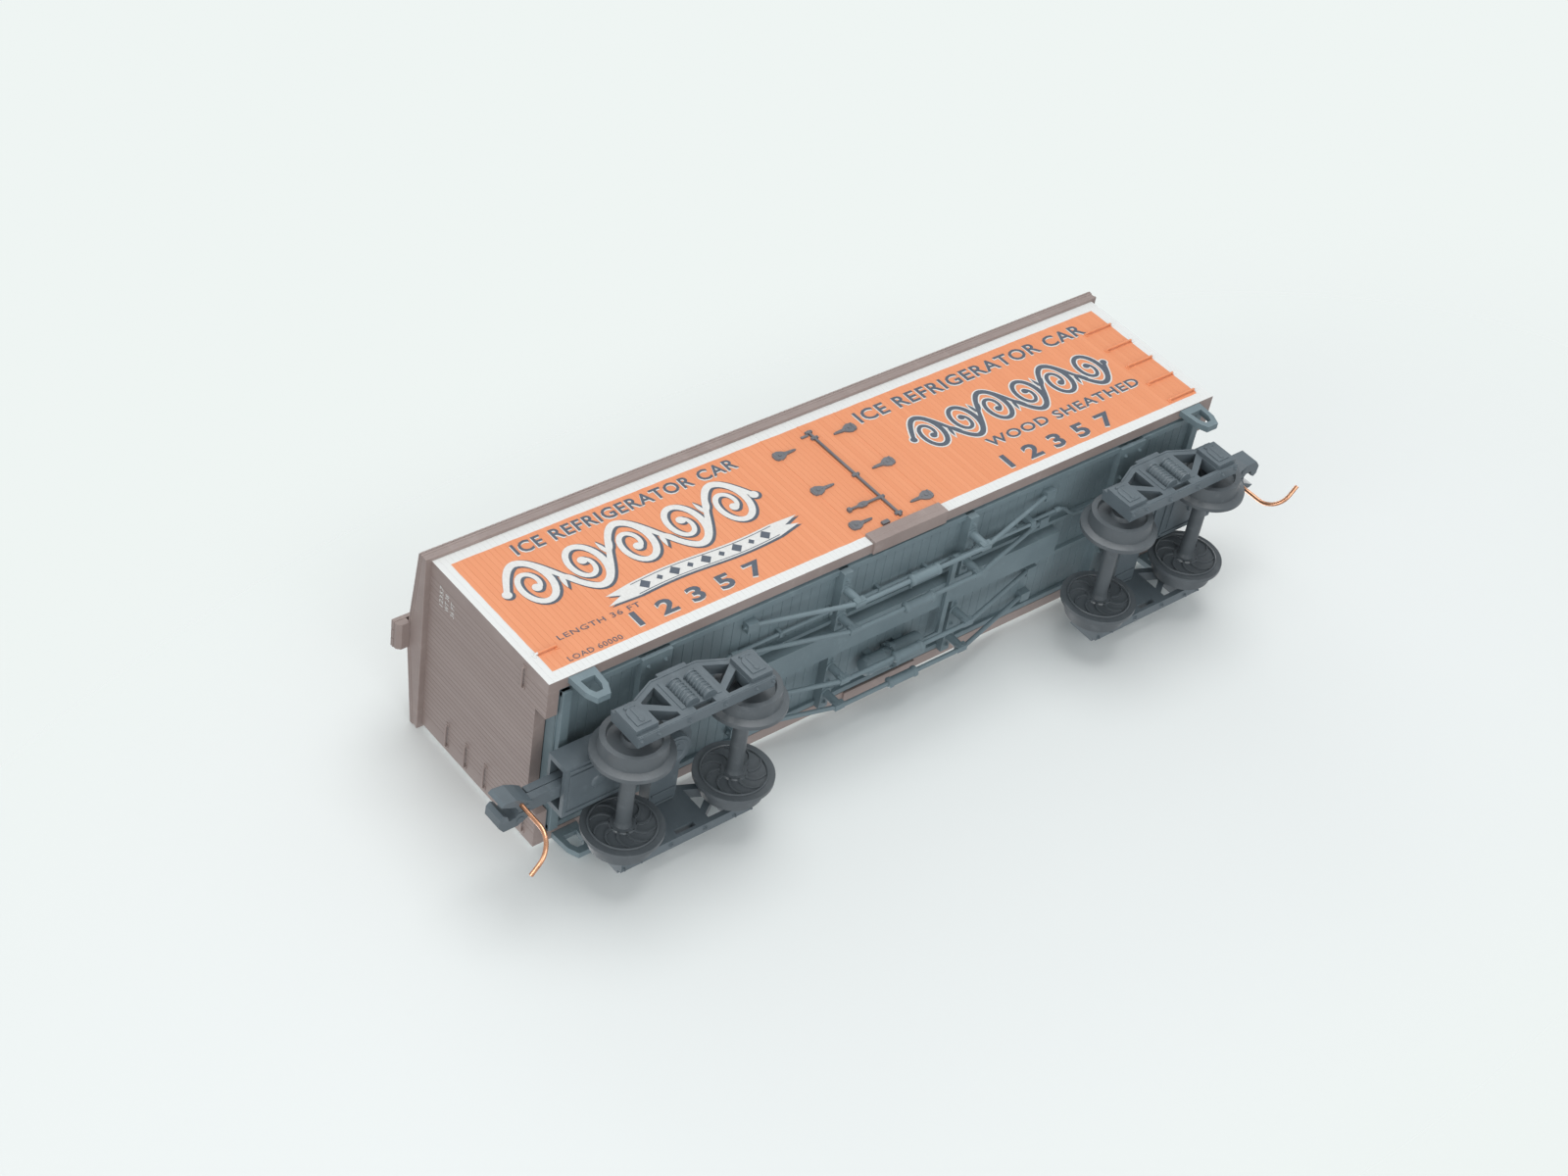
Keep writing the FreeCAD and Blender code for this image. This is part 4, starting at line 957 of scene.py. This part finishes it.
SHEATH_LOW = 8.36
BEAM_TOP = SHEATH_LOW + 0.05
ROD_ROWS = (-5.6, -2.7, 2.7, 5.6)
BOLT_ROWS = (-6.6, -4.2, -1.9, 1.9, 4.2, 6.6)
NEEDLE_X = 6.6
NEEDLE_LOW = 7.5
BOLSTER_LOW = 7.75
POST_FOOT = 5.7
ANCHOR_X = 15.6
ANCHOR_LEVEL = 8.0
PIPE_Y = -3.4
PIPE_LEVEL = 7.9
PIPE_RADIUS = 0.16
PIPE_JOG = ANCHOR_X + 1.4
# The pipe's way round a bolster, outwards and across from the start of the jog.
PIPE_BEND = ((0, 0), (0.6, 0.1), (1.2, 0.5), (1.7, 1.0), (2.3, 1.4), (3.0, 1.5), (4.6, 1.5))
BRANCH_X = 1.2
CYLINDER = (4.15, 7.15)
CYLINDER_X = 1.2


def nut(build, axis, centre, face, out, size=0.2):
    """A washer, a nut and a bolt end that stand out from a face."""
    for radius, reach, sides in ((size, 0.05, 16), (size * 0.72, 0.15, 6), (size * 0.4, 0.22, 10)):
        low, high = sorted((face - out * 0.02, face + out * reach))
        build.bar(axis, centre, radius, low, high, sides)


def make_floor():
    """Floor boards across the car, with side and intermediate sills under them."""
    build = Build(lambda u, v, d: (u, v, SHEATH_LOW + d))
    board_panel(build, spaced(FLOOR_LOW.x, FLOOR_HIGH.x, 70), FLOOR_LOW.y, FLOOR_HIGH.y, 0.12,
                0.03, 0.04)
    build.piece("floor_boards", UNDER_PLASTIC)
    sills = Build()
    inner = TRUCK_CENTRE - 1.4
    for side in SIDES:
        low, high = outward(side, 6.75, 7.3)
        sills.plate(FLOOR_LOW.x + 0.1, FLOOR_HIGH.x - 0.1, low, high, 8.05, BEAM_TOP)
        sills.plate(-inner, inner, *outward(side, 1.75, 2.15), 7.95, BEAM_TOP)
    for end in SIDES:
        sills.plate(*outward(end, 32.3, 33.1), -7.3, 7.3, 7.9, BEAM_TOP)
    sills.piece("floor_sills", UNDER_PLASTIC, bevel=0.05)


def make_under_hardware():
    """Nuts on the beams, shoes under the queen posts and nuts on the truss rods' ends."""
    build = Build()
    for end in SIDES:
        x = end * NEEDLE_X
        for y in ROD_ROWS:
            build.bar("z", (x, y), 0.55, NEEDLE_LOW - 0.1, NEEDLE_LOW + 0.02, 28)
            build.plate(x - 0.5, x + 0.5, y - 0.3, y + 0.3, POST_FOOT - 0.12, POST_FOOT + 0.42)
            nut(build, "x", (y, ANCHOR_LEVEL), end * (ANCHOR_X + 0.5), end)
        for y in BOLT_ROWS:
            nut(build, "z", (x, y), NEEDLE_LOW, -1)
            for offset in (-0.8, 0.8):
                nut(build, "z", (end * (TRUCK_CENTRE + offset), y * 0.98), BOLSTER_LOW, -1)
    for y in ROD_ROWS:
        for x in (-1.3, 1.3):
            sleeve = ((0.3, x - 0.25), (0.47, x - 0.12), (0.47, x + 0.12), (0.3, x + 0.25))
            build.turned("x", (y, POST_FOOT), sleeve)
    build.piece("underframe_bolts", UNDER_PLASTIC, bevel=0.02)


def make_train_pipe():
    """The air line along the floor, with two jogs round the bolsters, tees and clips."""
    y, z = PIPE_Y, PIPE_LEVEL
    clear = TRUCK_CENTRE - 10.4
    build = Build()
    build.tube([(x, y, z) for x in [-PIPE_JOG] + spaced(-clear, clear, 6) + [PIPE_JOG]],
               PIPE_RADIUS, 12)
    for end in SIDES:
        start = end * PIPE_JOG
        build.tube([(start + end * u, y + v, z) for u, v in PIPE_BEND], PIPE_RADIUS, 12)
        build.bar("x", (y, z), 0.24, start - 0.3, start + 0.3, 12)
    build.tube([(BRANCH_X, y + v, z) for v in (0, 0.8, 1.2, 1.5)], 0.12, 12)
    build.bar("x", (y, z), 0.25, BRANCH_X - 0.3, BRANCH_X + 0.3, 12)
    for x in spaced(-12.5, 12.5, 5):
        build.plate(x - 0.14, x + 0.14, y - 0.26, y + 0.26, z - 0.2, SHEATH_LOW + 0.04)
    build.piece("train_pipe", UNDER_PLASTIC, smooth=True)


def make_cylinder_detail():
    """Domed heads, bands and flange bolts on the brake cylinder and its reservoir."""
    x, tail = CYLINDER_X, BARREL_LOW.x
    build = Build()
    profiles = [((0.78, tail + 0.03), (0.72, tail - 0.06), (0.52, tail - 0.14), (0.2, tail - 0.18)),
                ((0.95, x + 1.48), (0.86, x + 1.58), (0.5, x + 1.68), (0.24, x + 1.72))]
    for u in (x - 3.9, x - 2.2):
        profiles.append(((0.78, u - 0.14), (0.83, u - 0.1), (0.83, u + 0.1), (0.78, u + 0.14)))
    for profile in profiles:
        build.turned("x", CYLINDER, profile)
    for bolt in disc(*CYLINDER, 1.0, 8):
        build.bar("x", bolt, 0.09, x - 1.8, x - 1.25, 6)
    build.piece("brake_cylinder_heads", UNDER_PLASTIC, smooth=True)


# ---- trucks and couplers

LID_HALF = 0.62
SPRING_LOW = 2.55
SPRING_HIGH = 4.8
SPRING_STEPS = 140
# The arch bar's knees, and the flat tie bar under the frame.
KNEES = ((-4.3, 4.97), (-2.1, 5.97), (2.1, 5.97), (4.3, 4.97))
TIE_BAR = ((-6.25, 1.75), (6.25, 1.75))
RIB_COUNT = 10
RIM_RADIUS = 2.62
JAW_RIB = ((12.45, 0.2), (13.1, 0.2), (13.0, 0.62), (12.6, 0.6))
KNUCKLE_RIVET = (13.2, -0.78)


def truck_place(end):
    """Points drawn about a truck's own centre, with its coupler towards +X."""
    return lambda x, y, z: (end * (TRUCK_CENTRE + x), end * y, z)


def side_place_truck(end, side):
    """Points on one side frame: u along it, v up, w out from the middle of the truck."""
    place = truck_place(end)
    return lambda u, v, w: place(u, side * w, v)


def band(build, low, high, thick):
    """A raised edge along an arch bar, from one point to another."""
    du, dv = high[0] - low[0], high[1] - low[1]
    size = hypot(du, dv)
    a, b = dv / size * thick, -du / size * thick
    outline = [low, high, (high[0] + a, high[1] + b), (low[0] + a, low[1] + b)]
    build.prism(outline, "z", FRAME_FACE - 0.02, FRAME_FACE + 0.06)


def make_side_frame_detail(end, letter, side):
    """Journal lids, column and box bolts, arch-bar edges and the spring group."""
    tag = f"{letter}_{SIDE_WORDS[side * end]}"
    body = f"truck_{letter}"
    build = Build(side_place_truck(end, side))
    for axle in SIDES:
        u = axle * HALF_WHEELBASE
        lid = [(u - LID_HALF, 2.35), (u + LID_HALF, 2.35)]
        lid += [polar(u, 3.55, LID_HALF, radians(turn)) for turn in spaced(0, 180, 8)]
        build.prism(lid, "z", BOX_FACE - 0.02, BOX_FACE + 0.09)
        build.bar("x", (4.22, BOX_FACE + 0.02), 0.13, u - 0.45, u + 0.45, 14)
        build.plate(u - 0.12, u + 0.12, 2.5, 4.0, BOX_FACE + 0.05, BOX_FACE + 0.14)
        build.bar("z", (u, 2.75), 0.2, BOX_FACE, BOX_FACE + 0.17, 16)
        for bolt in (-0.78, 0.78):
            nut(build, "y", (u + bolt, 6.8), 4.95, 1, 0.19)
            nut(build, "y", (u + bolt, 6.8), 1.55, -1, 0.19)
    for column in (-1.62, 1.62):
        nut(build, "y", (column, 6.62), 5.95, 1, 0.22)
        nut(build, "y", (column, 6.62), 1.55, -1, 0.22)
        build.plate(column - 0.2, column + 0.2, 2.35, 5.4, FRAME_FACE - 0.02, FRAME_FACE + 0.07)
    for low, high in ((0, 1), (2, 3), (1, 2)):
        band(build, KNEES[low], KNEES[high], 0.16)
    band(build, *TIE_BAR, 0.12)
    build.piece(f"side_frame_detail_{tag}", TRUCK_PLASTIC, body=body, bevel=0.025)

    springs = Build(side_place_truck(end, side))
    for centre in (-0.78, 0.78):
        path = []
        for i in range(SPRING_STEPS + 1):
            u, w = polar(centre, FRAME_FACE, 0.52, 2 * pi * i / 20)
            path.append((u, SPRING_LOW + (SPRING_HIGH - SPRING_LOW) * i / SPRING_STEPS, w))
        springs.tube(path, 0.085, 8)
        for level in (2.45, 4.82):
            springs.bar("y", (centre, FRAME_FACE), 0.6, level - 0.04, level + 0.1, 24)
    springs.piece(f"truck_springs_{tag}", TRUCK_PLASTIC, body=body, smooth=True)


def make_box_detail(end, letter):
    """A panel, the post's rivet and ribs under the coupler box, and the truck pin's head."""
    under = BOX_FLOOR
    root = under + 0.02
    build = Build(truck_place(end))
    build.plate(4.0, 9.2, -1.7, 1.7, under - 0.09, root)
    rivet = ((0.3, under - 0.24), (0.5, under - 0.2), (0.62, under - 0.08), (0.62, under))
    build.turned("z", (6.6, 0), rivet)
    for y in (-2.1, 2.1):
        build.plate(2.4, 9.3, y - 0.12, y + 0.12, under - 0.14, root)
    for x in (1.9, 3.2):
        build.plate(x - 0.12, x + 0.12, -2.2, 2.2, under - 0.14, root)
    for y in (-6.0, -4.9, 4.9, 6.0):
        build.plate(-1.1, 1.1, y - 0.1, y + 0.1, under - 0.12, root)
    build.piece(f"truck_underside_{letter}", TRUCK_PLASTIC, body=f"truck_{letter}", bevel=0.03)
    pin = Build(truck_place(end))
    level = PIN_LOW.z
    head = (PIN_HIGH.x - PIN_LOW.x) / 2
    cup = ((0.82, 0.02), (0.82, -0.06), (0.7, -0.06), (0.6, 0.01))
    pin.turned("z", (0, 0), [(head * share, level + rise) for share, rise in cup])
    arm = rect(-head * 0.5, head * 0.5, -0.12, 0.12)
    for turn in (0.4, 0.4 + pi / 2):
        pin.prism(leaned(arm, turn), "z", level - 0.05, level + 0.05 + 0.01 * turn)
    pin.piece(f"truck_pin_head_{letter}", TRUCK_PLASTIC, bevel=0.015)


def make_wheel_ribs(tag):
    """Curved ribs, a hub ring and a rim ring on the back of each wheel."""
    low, high = box_mm(f"wheelset_{tag}")
    x, z = (low.x + high.x) / 2, AXLE_LEVEL
    build = Build()
    for side in SIDES:
        back = side * WHEEL_BACK
        inner = side * (WHEEL_BACK - 0.13)
        start, finish = sorted((back + side * 0.02, inner))
        for i in range(RIB_COUNT):
            outline = []
            for offset, parts in ((-0.1, spaced(0, 1, 6)), (0.1, spaced(1, 0, 6))):
                for part in parts:
                    reach = 1.0 + 1.5 * part
                    turn = 2 * pi * i / RIB_COUNT + side * 0.55 * part * part
                    outline.append(polar(x, z, reach, turn + offset / reach))
            build.prism(outline, "y", start, finish)
        hub = ((1.12, back), (1.05, inner), (0.72, inner), (0.62, back - side * 0.5))
        build.turned("y", (x, z), hub)
        ring = [(u, inner + side * 0.06, v) for u, v in disc(x, z, RIM_RADIUS, 48)]
        build.tube(ring, 0.09, 8, closed=True)
    build.piece(f"wheel_ribs_{tag}", WHEEL_PLASTIC, body=f"wheelset_{tag}", smooth=True)


def make_coupler_detail(end, letter):
    """Rivets and ribs on both halves of the coupler."""
    jaw, knuckle = Build(truck_place(end)), Build(truck_place(end))
    for level, out in ((HOOK_TOP, 1), (HOOK_BOTTOM, -1)):
        root = level - out * 0.02
        jaw.prism(JAW_RIB, "z", *sorted((root, level + out * 0.08)))
        rivet = ((0.3, root), (0.3, level + out * 0.06), (0.18, level + out * 0.1))
        knuckle.turned("z", KNUCKLE_RIVET, rivet)
    jaw.piece(f"coupler_jaw_detail_{letter}", TRUCK_PLASTIC, body=f"coupler_{letter}", bevel=0.03)
    knuckle.piece(f"coupler_knuckle_detail_{letter}", TRUCK_PLASTIC, body=f"knuckle_{letter}",
                  smooth=True)


# ---- carried CAD nodes

# Each material's nodes, by the start of their names, with the width of their bevel.
CARRIED = (
    (TRUCK_PLASTIC, {"truck_frame": 0.07, "truck_pin": 0.08, "coupler_lid": 0.06,
                     "coupler_jaw": 0.1, "coupler_knuckle": 0.1}),
    (UNDER_PLASTIC, {"underframe": 0.07, "stirrup_step": 0.1, "truss_rod": 0,
                     "brake_cylinder": 0.04, "brake_rigging": 0.04}),
    (SHELL_PLASTIC, {"brake_staff": 0.03, "brake_step": 0.04}),
    (STEEL, {"coupler_spring": 0, "floor_weight": 0.05}),
    (WHEEL_PLASTIC, {"wheelset": 0}),
    (COPPER, {"trip_pin": 0}),
)


def dress_cad_nodes():
    for material, bevels in CARRIED:
        for stem, bevel in bevels.items():
            for name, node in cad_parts.items():
                if not name.startswith(stem):
                    continue
                node.data.materials.clear()
                node.data.materials.append(material)
                if bevel:
                    round_edges(node, bevel)


# ---- stage, light and camera

BACKGROUND = (0.862, 0.913, 0.896, 1)
ROOM_LIGHT = (0.93, 0.97, 1.0, 1)
STAGE_TONE = (0.75, 0.775, 0.765, 1)
STAGE_REACH = 4000
FADE_START = 26 * MM
FADE_END = 62 * MM
LIGHT_AIM = Vector((0, 0, 16))
# Name, place, size and power of each lamp.
LAMPS = (
    ("box_light", (40, -330, 60), 260, 0.55),
    ("top_light", (60, -60, 380), 300, 0.4),
    ("end_light", (-320, -90, -70), 200, 0.32),
    ("far_light", (-40, 330, 110), 260, 0.46),
    ("brake_end_light", (320, 60, 80), 220, 0.26),
    ("under_light", (-60, -150, -300), 260, 0.42),
)
CAMERA_PLACE = (-119.237, -140.349, -97.314)
CAMERA_RIGHT = (0.77552577, -0.13253558, -0.6172472)
CAMERA_UP = (0.33854627, -0.73793865, 0.58380902)
CAMERA_BACK = (-0.53286603, -0.66172567, -0.52742101)
CAMERA_LENS = 60.70


def stage_material():
    """A pale matt sheet that shows from its front only and fades into the room far away."""
    paint = Paint("pale_stage", Base_Color=STAGE_TONE, Roughness=0.9, Specular_IOR_Level=0.1)
    squashed = paint.node("VectorMath", {0: paint.place, 1: (0.5, 1.0, 1.0)},
                          operation="MULTIPLY").outputs[0]
    distance = paint.node("VectorMath", {0: squashed}, operation="LENGTH").outputs["Value"]
    fade = paint.node("MapRange", {"Value": distance, "From Min": FADE_START,
                                   "From Max": FADE_END}, interpolation_type="SMOOTHSTEP")
    behind = paint.node("NewGeometry").outputs["Backfacing"]
    unseen = paint.maths("MAXIMUM", behind, fade.outputs[0])
    clear = paint.node("BsdfTransparent")
    blend = paint.node("MixShader", {0: unseen, 1: paint.shader.outputs[0], 2: clear.outputs[0]})
    paint.tree.links.new(blend.outputs[0], paint.tree.nodes["Material Output"].inputs["Surface"])
    return paint.material


def stage_sheet(name, corners, material):
    mesh = bpy.data.meshes.new(name)
    mesh.from_pydata([Vector(c) * MM for c in corners], [], [[0, 1, 2, 3]])
    mesh.materials.append(material)
    sheet = add_object(name, mesh)
    for ray in ("shadow", "diffuse", "glossy", "transmission"):
        setattr(sheet, "visible_" + ray, False)


def make_stage():
    """The surface under the wheels, and the one that the car's far side lies on."""
    material = stage_material()
    square = rect(-STAGE_REACH, STAGE_REACH, -STAGE_REACH, STAGE_REACH)
    back = cad_bounds[1].y / MM + 0.02
    stage_sheet("floor", [(u, v, 0) for u, v in square], material)
    stage_sheet("lying_surface", [(u, back, v) for u, v in square], material)


def make_world():
    """A pale room: its own tone for the camera, a softer light for the car."""
    world = bpy.data.worlds.new("pale_room")
    world.use_nodes = True
    tree = world.node_tree
    seen = tree.nodes["Background"]
    seen.inputs["Color"].default_value = BACKGROUND
    lighting = add_node(tree, "Background", {"Color": ROOM_LIGHT, "Strength": 0.55})
    is_camera = add_node(tree, "LightPath").outputs["Is Camera Ray"]
    blend = add_node(tree, "MixShader", {0: is_camera, 1: lighting.outputs[0], 2: seen.outputs[0]})
    tree.links.new(blend.outputs[0], tree.nodes["World Output"].inputs["Surface"])
    bpy.context.scene.world = world


def make_lamps():
    for name, place, size, power in LAMPS:
        light = bpy.data.lights.new(name, "AREA")
        light.shape = "DISK"
        light.size = size * MM
        light.energy = power
        lamp = add_object(name, light)
        lamp.location = Vector(place) * MM
        lamp.rotation_mode = "QUATERNION"
        lamp.rotation_quaternion = (LIGHT_AIM - Vector(place)).to_track_quat("-Z", "Y")
        lamp.visible_camera = False


def make_camera():
    """The car lies on its far side, seen from above its running gear."""
    data = bpy.data.cameras.new("camera")
    data.lens = CAMERA_LENS
    data.sensor_width = 36.0
    data.clip_start = 0.005
    data.clip_end = 50.0
    camera = add_object("camera", data)
    axes = Matrix((CAMERA_RIGHT, CAMERA_UP, CAMERA_BACK)).transposed()
    camera.matrix_world = Matrix.Translation(Vector(CAMERA_PLACE) * MM) @ axes.to_4x4()
    bpy.context.scene.camera = camera


make_stage()
make_world()
make_lamps()
make_camera()
bpy.context.scene.view_settings.view_transform = "Standard"

on_both_sides("side_sheathing", draw_side, SIDE_PAINT, SHELL_PLASTIC, replaces=SHELL)
make_ends()
make_roof()
on_both_sides("door_threshold", draw_threshold, SHELL_PLASTIC, bevel=0.04, replaces=SHELL)
on_both_sides("door_hinges", draw_hinges, HARDWARE_PAINT, bevel=0.02, replaces=SHELL)
on_both_sides("door_latch", draw_latch, HARDWARE_PAINT, bevel=0.02, replaces=SHELL)
on_both_sides("door_battens", draw_battens, SIDE_PAINT, bevel=0.012)
make_ladders()
for side, word in SIDE_WORDS.items():
    make_scrolls(side_place(side), word)
    make_ribbon(side_place(side), word)
    make_lettering(side_place(side), word)
for end, letter in END_LETTERS.items():
    make_end_lettering(end, letter)
make_running_board()
make_brake_wheel()
make_floor()
make_under_hardware()
make_train_pipe()
make_cylinder_detail()
for end, letter in END_LETTERS.items():
    make_box_detail(end, letter)
    make_coupler_detail(end, letter)
    for side in SIDES:
        make_hatch(letter, side)
        make_side_frame_detail(end, letter, side)
    for word in ("outer", "inner"):
        make_wheel_ribs(f"{letter}_{word}")
dress_cad_nodes()
